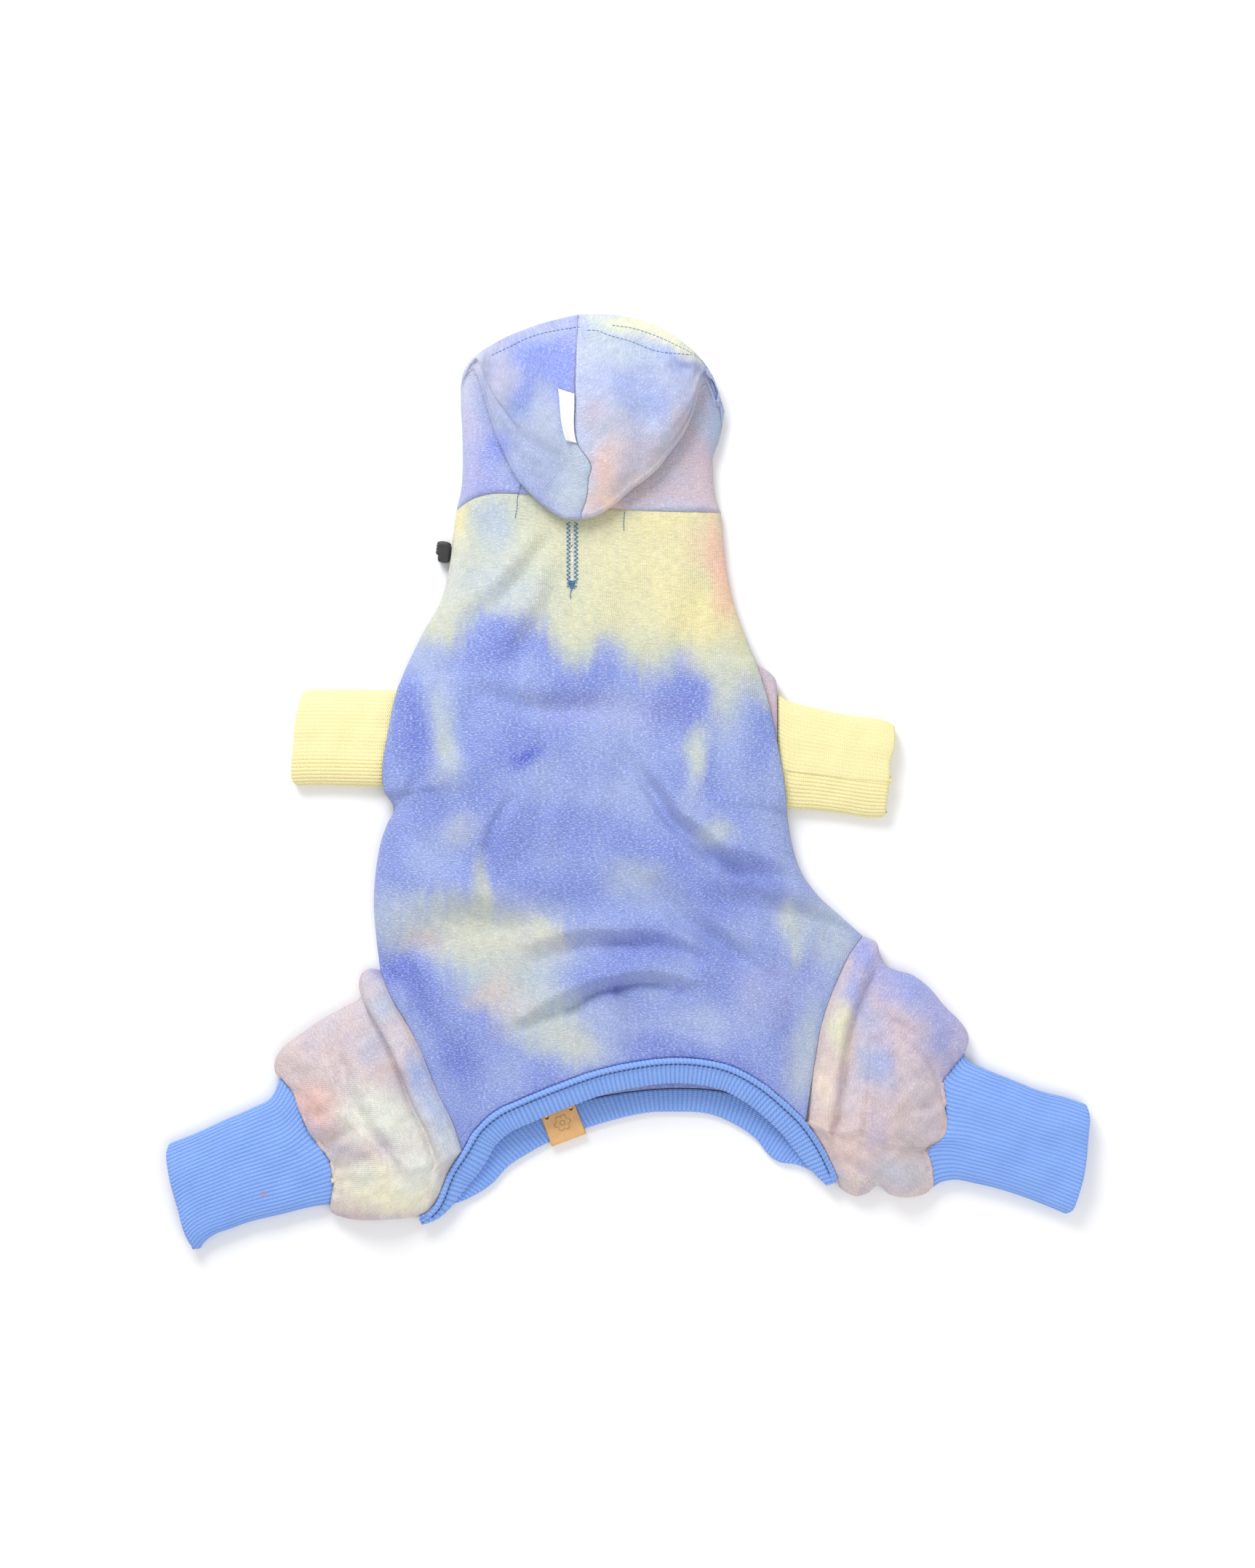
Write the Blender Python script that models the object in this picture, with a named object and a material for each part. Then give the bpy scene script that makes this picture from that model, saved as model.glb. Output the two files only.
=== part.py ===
"""A dog's jumpsuit of tie-dyed terry knit, lying flat with its back up and its head end towards +Y.

Metres, +Z up, floor at z = 0, origin under the middle of the garment's extent. Every cloth piece is
worked out as its outer surface, a grid of points between named edge curves, and a Solidify modifier
gives it its wall on the inner side. Edge curves are bows on the straight line between two corners,
so each piece follows the corners and sizes that it shares with its neighbours.
"""

from math import radians

import bpy
import numpy as np

# Walls and clearances
TERRY = 0.0018
RIB_KNIT = 0.0024
LEATHER = 0.0014
TAG_TAPE = 0.0008
SEAM_GAP = 0.0005
SIDE_GAP = 0.0010
CUFF_GAP = 0.0010
SEATED_GAP = 0.0003

# Torso
BODY_LENGTH = 0.3965
NECK_WIDTH = 0.164
HIP_WIDTH = 0.299
NECK_HEIGHT = 0.018
BODY_HEIGHT = 0.025
EDGE_HEIGHT = 0.005

# Rump opening
RUMP_SPAN = 0.2676
RUMP_HEIGHT = 0.024
BAND_WIDTH = 0.0135
BAND_DROP = 0.003
BELLY_BAND_LIFT = 0.0022
PIPING_RADIUS = 0.0021

# Sleeves and front cuffs
FRONT_CUFF_LENGTH = 0.069
FRONT_CUFF_WIDTH = 0.0615
FRONT_CUFF_HEIGHT = 0.0125
SLEEVE_LENGTH = 0.014
ARMHOLE_MARGIN = 0.003
NOTCH_STEP = 0.009

# Rear legs and cuffs
LEG_LENGTH = 0.070
LEG_HEIGHT = 0.030
LEG_END_WIDTH = 0.085
REAR_CUFF_LENGTH = 0.0836
REAR_CUFF_WIDTH = 0.069
REAR_CUFF_HEIGHT = 0.0135

# Hood
HOOD_LENGTH = 0.121
HOOD_BULGE = 0.008
INNER_FOLD_RADIUS = 0.0018
OUTER_FOLD_RADIUS = 0.0034
FOLD_STEP = 0.0004
HOOD_SEAM_GAP = 0.0008

# Trim
SLIT_FROM_NECK = 0.0095
SLIT_LENGTH = 0.036
SLIT_WIDTH = 0.0016
TAG_WIDTH = 0.0100
TAG_LENGTH = 0.0300
TAG_CURL = 0.0015
LABEL_WIDTH = 0.0225
LABEL_REACH = 0.0185
TOGGLE_LENGTH = 0.0135
TOGGLE_WIDTH = 0.0088
TOGGLE_HEIGHT = 0.0085
TOGGLE_EDGE = 0.0008

# Grid steps: across and along each piece
BACK_ACROSS = 12
BACK_ALONG = 13
BELLY_ALONG = (5, 4, 5)
HOOD_COLUMNS = (0, 0.02, 0.24, 0.45, 0.62, 0.75, 0.84, 0.91, 0.96, 1.0)
HOOD_ALONG = (2, 4, 2, 4, 5)
TUBE_ACROSS = (7, 4)
LEG_ALONG = 9
CUFF_ALONG = 3
BAND_ALONG = 32

# Edge curves. Columns: share of the way along the chord, share of the chord to the left of its heading.
NECK_SEAM = ((0, 0), (0.055, 0.039), (0.13, 0.061), (0.22, 0.062), (0.30, 0.055), (0.47, 0.023),
             (0.63, 0.005), (0.84, -0.001), (1, 0))
LEFT_SIDE = ((0, 0), (0.19, 0), (0.28, -0.031), (0.39, -0.060), (0.50, -0.066), (0.58, -0.064),
             (0.62, -0.053), (0.655, -0.027), (0.685, -0.036), (0.73, -0.044), (0.85, -0.039),
             (0.94, -0.018), (1, 0))
RIGHT_SIDE = ((0, 0), (0.116, -0.027), (0.197, -0.037), (0.34, -0.033), (0.44, -0.034), (0.51, -0.042),
              (0.60, -0.054), (0.75, -0.084), (0.82, -0.085), (0.88, -0.067), (0.94, -0.034), (1, 0))
LEFT_LEG_SEAM = ((0, 0), (0.155, -0.005), (0.29, 0.011), (0.42, 0.021), (0.69, 0.010), (0.85, 0.015), (1, 0))
RIGHT_LEG_SEAM = ((0, 0), (0.115, -0.039), (0.226, -0.056), (0.35, -0.068), (0.51, -0.069), (0.67, -0.048),
                  (0.84, -0.024), (1, 0))
RUMP_ARC = ((0, 0), (0.051, 0.027), (0.10, 0.114), (0.133, 0.157), (0.167, 0.205), (0.217, 0.244),
            (0.28, 0.269), (0.366, 0.297), (0.452, 0.321), (0.537, 0.334), (0.629, 0.338), (0.70, 0.329),
            (0.765, 0.309), (0.834, 0.265), (0.889, 0.212), (0.928, 0.167), (0.961, 0.111), (0.987, 0.048),
            (1, 0))
BELLY_SEAM = ((0, 0), (0.051, 0.027), (0.10, 0.114), (0.133, 0.157), (0.198, 0.191), (0.31, 0.230),
              (0.464, 0.256), (0.623, 0.262), (0.75, 0.245), (0.849, 0.207), (0.928, 0.167), (0.961, 0.111),
              (0.987, 0.048), (1, 0))
BELLY_EDGE = ((0.04, 0.003), (0.092, 0.022), (0.131, 0.036), (0.192, 0.069), (0.232, 0.106), (0.276, 0.131),
              (0.332, 0.156), (0.42, 0.182), (0.56, 0.207), (0.63, 0.205), (0.707, 0.194), (0.766, 0.165),
              (0.811, 0.129), (0.838, 0.090), (0.862, 0.071), (0.904, 0.060), (0.938, 0.042), (0.997, 0.004))

# Rear legs. Sides run from the torso to the cuff, the cuff line from the front edge to the rear one.
LEG_SHAPES = {
    "left": {
        "seam": LEFT_LEG_SEAM,
        "front": ((0, 0), (0.044, -0.061), (0.106, -0.077), (0.181, -0.034), (0.225, 0.028), (0.354, -0.008),
                  (0.521, -0.062), (0.692, -0.099), (0.845, -0.125), (0.944, -0.107), (1.005, -0.049), (1, 0)),
        "rear": ((0, 0), (0.099, 0.087), (0.220, 0.110), (0.391, 0.127), (0.619, 0.145), (0.841, 0.133),
                 (0.985, 0.078), (1, 0)),
        "cuff_line": ((0, 0), (0.091, 0.049), (0.155, 0.069), (0.303, 0.062), (0.469, 0.071), (0.578, 0.107),
                      (0.70, 0.132), (0.831, 0.099), (1, 0)),
        "cuff_front": ((0, 0), (0.152, 0.102), (0.320, 0.093), (0.548, 0.063), (0.778, 0.039), (1, 0)),
        "cuff_rear": ((0, 0), (0.132, -0.028), (0.358, -0.051), (0.579, -0.076), (0.741, -0.077),
                      (0.858, -0.076), (0.963, -0.040), (1, 0)),
        "cuff_end": ((0, 0), (0.065, -0.033), (0.214, -0.057), (0.435, -0.069), (0.851, -0.064),
                     (0.948, -0.039), (1, 0)),
        "heading": 207.1, "line_heading": -68.9, "cuff_heading": 205.2, "end_heading": -73.3,
    },
    "right": {
        "seam": RIGHT_LEG_SEAM,
        "front": ((0, 0), (0.096, 0.041), (0.162, 0.010), (0.250, -0.009), (0.301, 0.015), (0.396, 0.076),
                  (0.533, 0.107), (0.689, 0.104), (0.828, 0.115), (0.925, 0.100), (0.972, 0.061), (1, 0)),
        "rear": ((0, 0), (0.046, -0.033), (0.162, -0.085), (0.289, -0.051), (0.395, 0.024), (0.532, -0.076),
                 (0.720, -0.107), (0.903, -0.075), (1, 0)),
        "cuff_line": ((0, 0), (0.133, -0.075), (0.261, -0.110), (0.391, -0.066), (0.497, -0.025),
                      (0.613, -0.021), (0.748, -0.107), (0.843, -0.063), (1, 0)),
        "cuff_front": ((0, 0), (0.039, -0.036), (0.169, -0.049), (0.403, -0.046), (0.641, -0.041),
                       (0.823, -0.013), (1, 0)),
        "cuff_rear": ((0, 0), (0.04, 0.040), (0.142, 0.083), (0.292, 0.087), (0.472, 0.082), (0.655, 0.062),
                      (0.841, 0.032), (1, 0)),
        "cuff_end": ((0, 0), (0.081, 0.029), (0.282, 0.059), (0.480, 0.070), (0.700, 0.071), (0.882, 0.058),
                     (0.959, 0.039), (1, 0)),
        "heading": -30.7, "line_heading": -102.8, "cuff_heading": -17.2, "end_heading": -100.6,
    },
}

# Front cuffs. Corners: shares of the cuff's length outwards and of its width forwards, from the side's middle.
CUFF_SHAPES = {
    "left": {
        "side_share": 0.50, "out": -1,
        "root_front": (-0.36, 0.50), "root_rear": (-0.36, -0.54),
        "inner_front": (-0.20, 0.48), "inner_rear": (-0.20, -0.52),
        "end_front": (0.75, 0.48), "end_rear": (0.83, -0.49),
        "front": ((0, 0), (0.25, 0.004), (0.55, -0.002), (1, 0)),
        "rear": ((0, 0), (0.2, -0.008), (0.53, -0.012), (0.85, -0.010), (1, 0)),
        "end": ((0, 0), (0.154, -0.039), (0.306, -0.055), (0.607, -0.058), (0.757, -0.059), (0.965, -0.033),
                (1, 0)),
        "sleeve_front": ((0, 0), (1, 0)),
    },
    "right": {
        "side_share": 0.52, "out": 1,
        "root_front": (-0.24, 0.82), "root_rear": (-0.17, -0.58),
        "inner_front": (0.0, 0.50), "inner_rear": (0.0, -0.62),
        "end_front": (1.07, 0.17), "end_rear": (0.97, -0.745),
        "front": ((0, 0), (0.101, -0.033), (0.322, -0.032), (0.618, -0.016), (0.902, 0.021), (1, 0)),
        "rear": ((0, 0), (0.104, -0.020), (0.352, -0.009), (0.603, -0.010), (0.847, -0.020), (1, 0)),
        "end": ((0, 0), (0.251, 0.008), (0.409, -0.020), (0.626, 0.0), (0.838, -0.005), (1, 0)),
        "sleeve_front": ((0, 0), (0.35, 0.16), (0.7, 0.20), (1, 0)),
    },
}

# Hood folds. Columns: share from the centre seam to the side, and how far forward of the neck seam the
# hidden fold, the fold over the neck and the hem lie, in shares of HOOD_LENGTH.
HOOD_SHAPES = {
    "left": {
        "hidden_fold": ((0, 0.375), (0.54, 0.468), (0.7, 0.524), (0.83, 0.554), (1, 0.58)),
        "neck_fold": ((0, -0.056), (0.13, -0.052), (0.30, 0.015), (0.43, 0.097), (0.54, 0.178), (0.63, 0.29),
                      (0.73, 0.413), (0.80, 0.535), (0.94, 0.60), (1, 0.62)),
        "hem": ((0, 0.993), (0.32, 0.948), (0.57, 0.892), (0.85, 0.80), (0.97, 0.747), (1, 0.70)),
        "side": ((0, 0.5), (0.12, 0.481), (0.39, 0.478), (0.55, 0.484), (0.70, 0.478), (0.75, 0.464)),
        "throat": 0.60, "sign": -1,
    },
    "right": {
        "hidden_fold": ((0, 0.375), (0.6, 0.413), (0.76, 0.44), (1, 0.45)),
        "neck_fold": ((0, -0.056), (0.11, -0.037), (0.23, 0.015), (0.38, 0.097), (0.56, 0.19), (0.66, 0.29),
                      (0.72, 0.39), (0.76, 0.44), (0.86, 0.455), (1, 0.46)),
        "hem": ((0, 0.993), (0.16, 0.993), (0.38, 0.974), (0.60, 0.911), (0.79, 0.81), (0.89, 0.729),
                (0.96, 0.606), (1, 0.52)),
        "side": ((0, 0.5), (0.08, 0.478), (0.23, 0.470), (0.28, 0.470), (0.37, 0.494), (0.52, 0.514)),
        "throat": 0.60, "sign": 1,
    },
}
# Columns: share along the top layer from its fold to the hem, shift of the centre seam in neck widths.
HOOD_SEAM = ((0, -0.016), (0.08, 0.005), (0.17, 0.011), (0.23, 0.022), (0.35, -0.030), (0.58, -0.038),
             (0.76, -0.036), (1, -0.025))
# Columns: share along the top layer, rise in shares of HOOD_BULGE.
HOOD_RISE = ((0, 0), (0.15, 0.55), (0.4, 1.0), (0.7, 0.7), (1, -0.45))

# Heights. Columns: share along the curve or piece, share of the named height.
RUMP_HEIGHTS = ((0, 0.36), (0.05, 0.42), (0.133, 0.56), (0.25, 0.80), (0.45, 0.98), (0.60, 1.0),
                (0.75, 0.93), (0.88, 0.70), (0.93, 0.56), (1, 0.36))
BAND_WIDTHS = ((0, 0.15), (0.05, 0.45), (0.12, 0.95), (0.2, 1.0), (0.5, 1.0), (0.8, 1.0), (0.92, 0.95),
               (0.97, 0.60), (1, 0.25))
SEAM_HEIGHTS = ((0, 0.26), (0.06, 0.38), (0.2, 0.52), (0.5, 0.60), (1, 0.56))
BODY_HEIGHTS = ((0, 0.72), (0.05, 0.74), (0.2, 0.92), (0.5, 1.0), (0.75, 0.98), (1, 0.96))
LEG_HEIGHTS = ((0, 0.50), (0.10, 0.62), (0.20, 0.66), (0.45, 1.0), (0.70, 0.88), (0.88, 0.56), (1, 0.42))

# Folds in the back. Columns: first and last point in shares of HIP_WIDTH across and BODY_LENGTH down from
# the neck, half width and height in shares of BODY_HEIGHT.
BACK_FOLDS = (
    (-0.14, 0.790, 0.00, 0.742, 0.55, -0.22),
    (0.00, 0.742, 0.17, 0.742, 0.55, -0.22),
    (-0.10, 0.705, 0.13, 0.680, 0.70, 0.16),
    (-0.05, 0.675, 0.13, 0.675, 0.45, -0.12),
    (0.16, 0.625, 0.35, 0.730, 0.55, -0.16),
    (0.30, 0.585, 0.45, 0.596, 0.50, -0.16),
    (0.10, 0.415, 0.21, 0.520, 0.60, -0.16),
    (0.19, 0.430, 0.40, 0.590, 0.70, 0.12),
    (-0.40, 0.467, -0.36, 0.419, 0.50, -0.20),
    (-0.43, 0.700, -0.40, 0.742, 0.50, -0.18),
    (-0.38, 0.706, -0.31, 0.810, 0.55, -0.14),
    (-0.17, 0.466, -0.20, 0.514, 0.50, -0.10),
    (0.17, 0.804, 0.37, 0.845, 0.45, -0.08),
    (-0.30, 0.200, -0.24, 0.330, 0.90, 0.10),
    (-0.22, 0.560, 0.05, 0.620, 1.00, 0.08),
    (0.05, 0.180, 0.20, 0.330, 0.90, 0.07),
)

COLOURS = {
    "terry_back": (0.36, 0.42, 0.72),
    "terry_belly": (0.40, 0.46, 0.74),
    "terry_hood": (0.48, 0.48, 0.72),
    "terry_leg": (0.55, 0.46, 0.62),
    "rib_yellow": (0.90, 0.84, 0.50),
    "rib_blue": (0.16, 0.34, 0.78),
    "leather_tan": (0.58, 0.34, 0.14),
    "tape_white": (0.85, 0.85, 0.82),
    "plastic_black": (0.03, 0.03, 0.03),
}


def through(stations, values, at):
    """Smooth curve through values at rising stations: cubic pieces whose slopes are those of their neighbours."""
    x = np.asarray(stations, float)
    y = np.asarray(values, float)
    shape = (-1,) + (1,) * (y.ndim - 1)
    chords = np.diff(y, axis=0) / np.diff(x).reshape(shape)
    slopes = np.concatenate([chords[:1], (chords[1:] + chords[:-1]) / 2, chords[-1:]])
    at = np.clip(np.asarray(at, float), x[0], x[-1])
    k = np.clip(np.searchsorted(x, at, side="right") - 1, 0, len(x) - 2)
    width = (x[k + 1] - x[k]).reshape(at.shape + (1,) * (y.ndim - 1))
    t = ((at - x[k]) / (x[k + 1] - x[k])).reshape(at.shape + (1,) * (y.ndim - 1))
    start = (2 * t**3 - 3 * t**2 + 1) * y[k] + (t**3 - 2 * t**2 + t) * width * slopes[k]
    return start + (-2 * t**3 + 3 * t**2) * y[k + 1] + (t**3 - t**2) * width * slopes[k + 1]


def column(rows, at):
    """Second column of a two-column table at shares of its first."""
    rows = np.asarray(rows, float)
    return through(rows[:, 0], rows[:, 1], at)


def stations_of(rows):
    """Share of the length at each row of a bow."""
    steps = np.hypot(*np.diff(np.asarray(rows, float), axis=0).T)
    run = np.concatenate([[0], np.cumsum(steps)])
    return run / run[-1]


def station_at(rows, along):
    """Share of the length where a bow is this share along its chord."""
    return float(np.interp(along, np.asarray(rows, float)[:, 0], stations_of(rows)))


def bow(start, end, rows, at):
    """Plan curve from start to end, bowed off its chord by the table, at shares of its length."""
    rows = np.asarray(rows, float)
    chord = end - start
    left = np.array([-chord[1], chord[0]])
    return through(stations_of(rows), start + rows[:, :1] * chord + rows[:, 1:] * left, at)


def heading(degrees):
    """Unit vector in plan."""
    return np.array([np.cos(radians(degrees)), np.sin(radians(degrees))])


def smooth_step(value):
    """Eased rise from 0 to 1."""
    value = np.clip(value, 0, 1)
    return value * value * (3 - 2 * value)


def lens(share, power):
    """Height share over a flattened tube's width: 0 at both edges, 1 in the middle, upright at the edges."""
    return (1 - np.abs(2 * np.clip(share, 0, 1) - 1) ** power) ** (1 / power)


def patch(first, last, left, right, across, fade):
    """Points inside four edge curves: rows run along, columns across.

    Each row is the straight line between the side curves, bowed like the first and the last curve in the
    shares that fade gives for each row.
    """
    u = across[None, :, None]
    by_first, by_last = (share[:, None, None] for share in fade)
    first_bow = first[None] - (1 - u) * first[0] - u * first[-1]
    last_bow = last[None] - (1 - u) * last[0] - u * last[-1]
    return (1 - u) * left[:, None] + u * right[:, None] + by_first * first_bow + by_last * last_bow


def panel_fade(along):
    """Shares of the neck seam's and the rump seam's bow at each row of a body panel."""
    return smooth_step(1 - along / 0.5), smooth_step((along - 0.25) / 0.75)


def seam_rows():
    """Rows of a body panel beside a leg, in shares of the leg seam, at the points of the leg's own root."""
    return 1 - np.cos(np.linspace(0, np.pi / 2, TUBE_ACROSS[0] + 1))[1:]


# The corners that the pieces share, in plan, measured from the middle of the neck seam
NECK_LEFT = np.array([-0.5 * NECK_WIDTH, 0.0])
NECK_RIGHT = np.array([0.5 * NECK_WIDTH, -0.003 * BODY_LENGTH])
HIP_LEFT = np.array([-0.432 * HIP_WIDTH, -0.7185 * BODY_LENGTH])
HIP_RIGHT = np.array([0.568 * HIP_WIDTH, -0.665 * BODY_LENGTH])
TIP_LEFT = np.array([-0.412 * RUMP_SPAN, -1.111 * BODY_LENGTH])
TIP_RIGHT = TIP_LEFT + RUMP_SPAN * heading(4.24)
CORNER_SHARES = (station_at(RUMP_ARC, 0.133), station_at(RUMP_ARC, 0.928))
LEG_TIP_SHARES = (station_at(RUMP_ARC, 0.051), 1.0)
BELLY_CORNER_SHARES = (station_at(BELLY_SEAM, 0.133), station_at(BELLY_SEAM, 0.928))
BAND_SPAN = (0.015, 0.985)
BELLY_BAND_SPAN = (0.06, 0.94)
HOOD_CENTRE_SHARE = 0.4835
UPRIGHT_SHARE = 0.0006
BELLY_CURL = 0.06
SIDE_SHARE = 0.66


def rump_arc(at):
    """Seam of the rump opening on the back, from its left tip to its right one."""
    return bow(TIP_LEFT, TIP_RIGHT, RUMP_ARC, at)


def belly_seam(at):
    """Seam of the rump opening on the belly, from its left tip to its right one."""
    return bow(TIP_LEFT, TIP_RIGHT, BELLY_SEAM, at)


def belly_edge(at):
    """Free edge of the belly's band, from left to right."""
    return bow(TIP_LEFT, TIP_RIGHT, BELLY_EDGE, at)


def neck_seam(at):
    """Seam of hood and body, from left to right."""
    return bow(NECK_LEFT, NECK_RIGHT, NECK_SEAM, at)


def rump_height(at):
    """Height of the rump opening's seam over the floor, at shares of its length."""
    return RUMP_HEIGHT * column(RUMP_HEIGHTS, at)


def neck_height(share):
    """Height of the neck seam on the back."""
    return EDGE_HEIGHT + (NECK_HEIGHT - EDGE_HEIGHT) * lens(share, 2.6)


def side_curve(side, at):
    """Outline of the body from the neck to the hip."""
    if side == "left":
        return bow(NECK_LEFT, HIP_LEFT, LEFT_SIDE, at)
    return bow(NECK_RIGHT, HIP_RIGHT, RIGHT_SIDE, at)


def leg_seam(side, at):
    """Seam of leg and body from the hip to the rump opening."""
    if side == "left":
        return bow(HIP_LEFT, rump_arc(CORNER_SHARES[0]), LEFT_LEG_SEAM, at)
    return bow(HIP_RIGHT, rump_arc(CORNER_SHARES[1]), RIGHT_LEG_SEAM, at)


def seam_height(at):
    """Height of the seam of leg and body over the floor."""
    return RUMP_HEIGHT * column(SEAM_HEIGHTS, at)


def cuff_corner(side, name):
    """Corner of a front cuff or sleeve in plan."""
    shape = CUFF_SHAPES[side]
    out, forward = shape[name]
    middle = side_curve(side, shape["side_share"])
    return middle + np.array([shape["out"] * out * FRONT_CUFF_LENGTH, forward * FRONT_CUFF_WIDTH])


def sleeve_span(side):
    """Front and rear edge of a sleeve, along Y."""
    front = max(cuff_corner(side, "root_front")[1], cuff_corner(side, "inner_front")[1])
    rear = min(cuff_corner(side, "root_rear")[1], cuff_corner(side, "inner_rear")[1])
    return front + ARMHOLE_MARGIN, rear - ARMHOLE_MARGIN


def sleeve_top(side, forward):
    """Height of a sleeve's upper wall at these places along Y, and nothing beside it."""
    front, rear = sleeve_span(side)
    share = (forward - rear) / (front - rear)
    return FRONT_CUFF_HEIGHT * lens(share, 6)


def tube_height(share, height):
    """Upper wall of a flattened tube."""
    middle = 0.4 * height
    return middle + (height - middle) * lens(share, 2.6)


def tube_floor(share, height):
    """Lower wall of a flattened tube, flat on the floor between its rounded edges."""
    return 0.4 * height * (1 - lens(share, 3.4))


def ring_shares(first, second, corner=0.5):
    """Places over a tube's width, close together at both edges, with one exactly at the corner share."""
    rise = corner * (1 - np.cos(np.linspace(0, np.pi / 2, first + 1)))
    fall = corner + (1 - corner) * np.sin(np.linspace(0, np.pi / 2, second + 1))
    return np.concatenate([rise, fall[1:]])


def tube(first, last, front, rear, top, bottom, shares, along):
    """Ring grid of a flattened tube: over the top from its front edge to its rear one, and back below."""
    plan = patch(first, last, front, rear, shares, (1 - along, along))
    upper = np.concatenate([plan, top[..., None]], axis=2)
    lower = np.concatenate([plan, bottom[..., None]], axis=2)
    return np.concatenate([upper, lower[:, -2:0:-1]], axis=1)


def trimmed(count, length, gap=SEAM_GAP, last_gap=SEAM_GAP):
    """Shares along a piece that stop half a gap short of both ends."""
    return np.linspace(gap / 2 / length, 1 - last_gap / 2 / length, count + 1)


def half_circle(count):
    """Shares over one half of a width, close together at its edge."""
    return np.sin(np.linspace(0, np.pi / 2, count + 1))


def panel_shares(half):
    """Shares over a body panel's width, from those over its halves."""
    left = HOOD_CENTRE_SHARE * (1 - half[::-1])
    right = HOOD_CENTRE_SHARE + (1 - HOOD_CENTRE_SHARE) * half[1:]
    return np.concatenate([left, right])


def back_panel():
    """Upper body: from the neck seam to the rump, over the sleeves, down to the side seams."""
    across = panel_shares(half_circle(BACK_ACROSS))
    across = np.concatenate([[0.0, UPRIGHT_SHARE], across[1:-1], [1 - UPRIGHT_SHARE, 1.0]])
    side_at = np.linspace(0, 1, BACK_ALONG + 1)
    seam_at = seam_rows()
    along = np.concatenate([side_at * SIDE_SHARE, SIDE_SHARE + seam_at * (1 - SIDE_SHARE)])
    edges = {}
    heights = {}
    for side in ("left", "right"):
        outline = side_curve(side, side_at)
        over_sleeve = sleeve_top(side, outline[:, 1]) + 4 * SEATED_GAP
        rest = EDGE_HEIGHT + SIDE_GAP / 2
        edges[side] = np.concatenate([outline, leg_seam(side, seam_at)])
        heights[side] = np.concatenate([np.maximum(rest, over_sleeve), seam_height(seam_at)])
    arc_at = CORNER_SHARES[0] + (CORNER_SHARES[1] - CORNER_SHARES[0]) * across
    plan = patch(neck_seam(across), rump_arc(arc_at), edges["left"], edges["right"], across, panel_fade(along))

    u = across[None, :]
    v = along[:, None]
    edge = (1 - u) * heights["left"][:, None] + u * heights["right"][:, None]
    crown = BODY_HEIGHT * column(BODY_HEIGHTS, v) + 0 * u
    beside_leg = smooth_step((v - SIDE_SHARE) / 0.08 + 1)
    height = edge + (crown - edge) * (lens(u, 2.6) + beside_leg * (lens(u, 1.2) - lens(u, 2.6)))
    to_neck = smooth_step(1 - v / 0.06)
    to_rump = smooth_step((v - 0.9) / 0.1)
    height = height + to_neck * (neck_height(u) - height)
    height = height + to_rump * (rump_height(arc_at)[None, :] - height)
    height = height + fold_relief(plan) * lens(u, 2.0) * (1 - to_neck) * (1 - to_rump)

    grid = np.concatenate([plan, height[..., None]], axis=2)
    grid[0, :, 1] -= SEAM_GAP / 2
    return clear_of_seams(grid, BACK_ALONG)


def clear_of_seams(grid, first_seam_row):
    """The grid drawn in by half a seam gap along its last row and, from one row on, along both sides."""
    ahead = grid[-2, :, :2] - grid[-1, :, :2]
    grid[-1, :, :2] += SEAM_GAP / 2 * ahead / np.linalg.norm(ahead, axis=1)[:, None]
    for edge, inner, across in ((0, 3, (0, 1)), (-1, -4, (-1, -2))):
        step = grid[first_seam_row:, inner, :2] - grid[first_seam_row:, edge, :2]
        step = SEAM_GAP / 2 * step / np.linalg.norm(step, axis=1)[:, None]
        for k in across:
            grid[first_seam_row:, k, :2] += step
    return grid


def fold_relief(plan):
    """Rise of the folds over the back: a rounded ridge or trough along each line of the table."""
    x = plan[..., 0] / HIP_WIDTH
    y = -plan[..., 1] / BODY_LENGTH
    relief = np.zeros(x.shape)
    for x0, y0, x1, y1, half_width, rise in BACK_FOLDS:
        across = (x1 - x0) * HIP_WIDTH
        down = (y1 - y0) * BODY_LENGTH
        length = np.hypot(across, down)
        dx = (x - x0) * HIP_WIDTH
        dy = (y - y0) * BODY_LENGTH
        run = (dx * across + dy * down) / length**2
        off = (dx * down - dy * across) / length
        beyond = np.maximum(np.maximum(-run, run - 1), 0) * length
        reach = half_width * BODY_HEIGHT
        relief += rise * BODY_HEIGHT * np.exp(-(off**2 + beyond**2) / reach**2)
    return relief


def belly_side(side):
    """Edge of the belly: the body's outline, cut in round the sleeve's root, then the leg's seam."""
    front = cuff_corner(side, "root_front")
    rear = cuff_corner(side, "root_rear")
    inwards = np.array([-CUFF_SHAPES[side]["out"], 0.0])
    sleeve_front, sleeve_rear = sleeve_span(side)
    at = np.linspace(0, 1, 200)
    outline = side_curve(side, at)
    start = float(np.interp(-sleeve_front - NOTCH_STEP, -outline[:, 1], at))
    stop = float(np.interp(-sleeve_rear + NOTCH_STEP, -outline[:, 1], at))
    notch = np.linspace(0, 1, BELLY_ALONG[1])[:, None]
    root = front + notch * (rear - front) + inwards * SEAM_GAP
    root[0, 1] = sleeve_front
    root[-1, 1] = sleeve_rear
    ahead = side_curve(side, np.linspace(0, start, BELLY_ALONG[0]))
    behind = side_curve(side, np.linspace(stop, 1, BELLY_ALONG[2]))
    seam = leg_seam(side, seam_rows())
    edge = EDGE_HEIGHT - SIDE_GAP / 2 - 0.8 * TERRY
    curl = [edge] * len(ahead) + [0.0] * len(root) + [edge] * (len(behind) - 1) + [0.0] * (len(seam) + 1)
    return np.concatenate([ahead, root, behind, seam]), np.array(curl)


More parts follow.
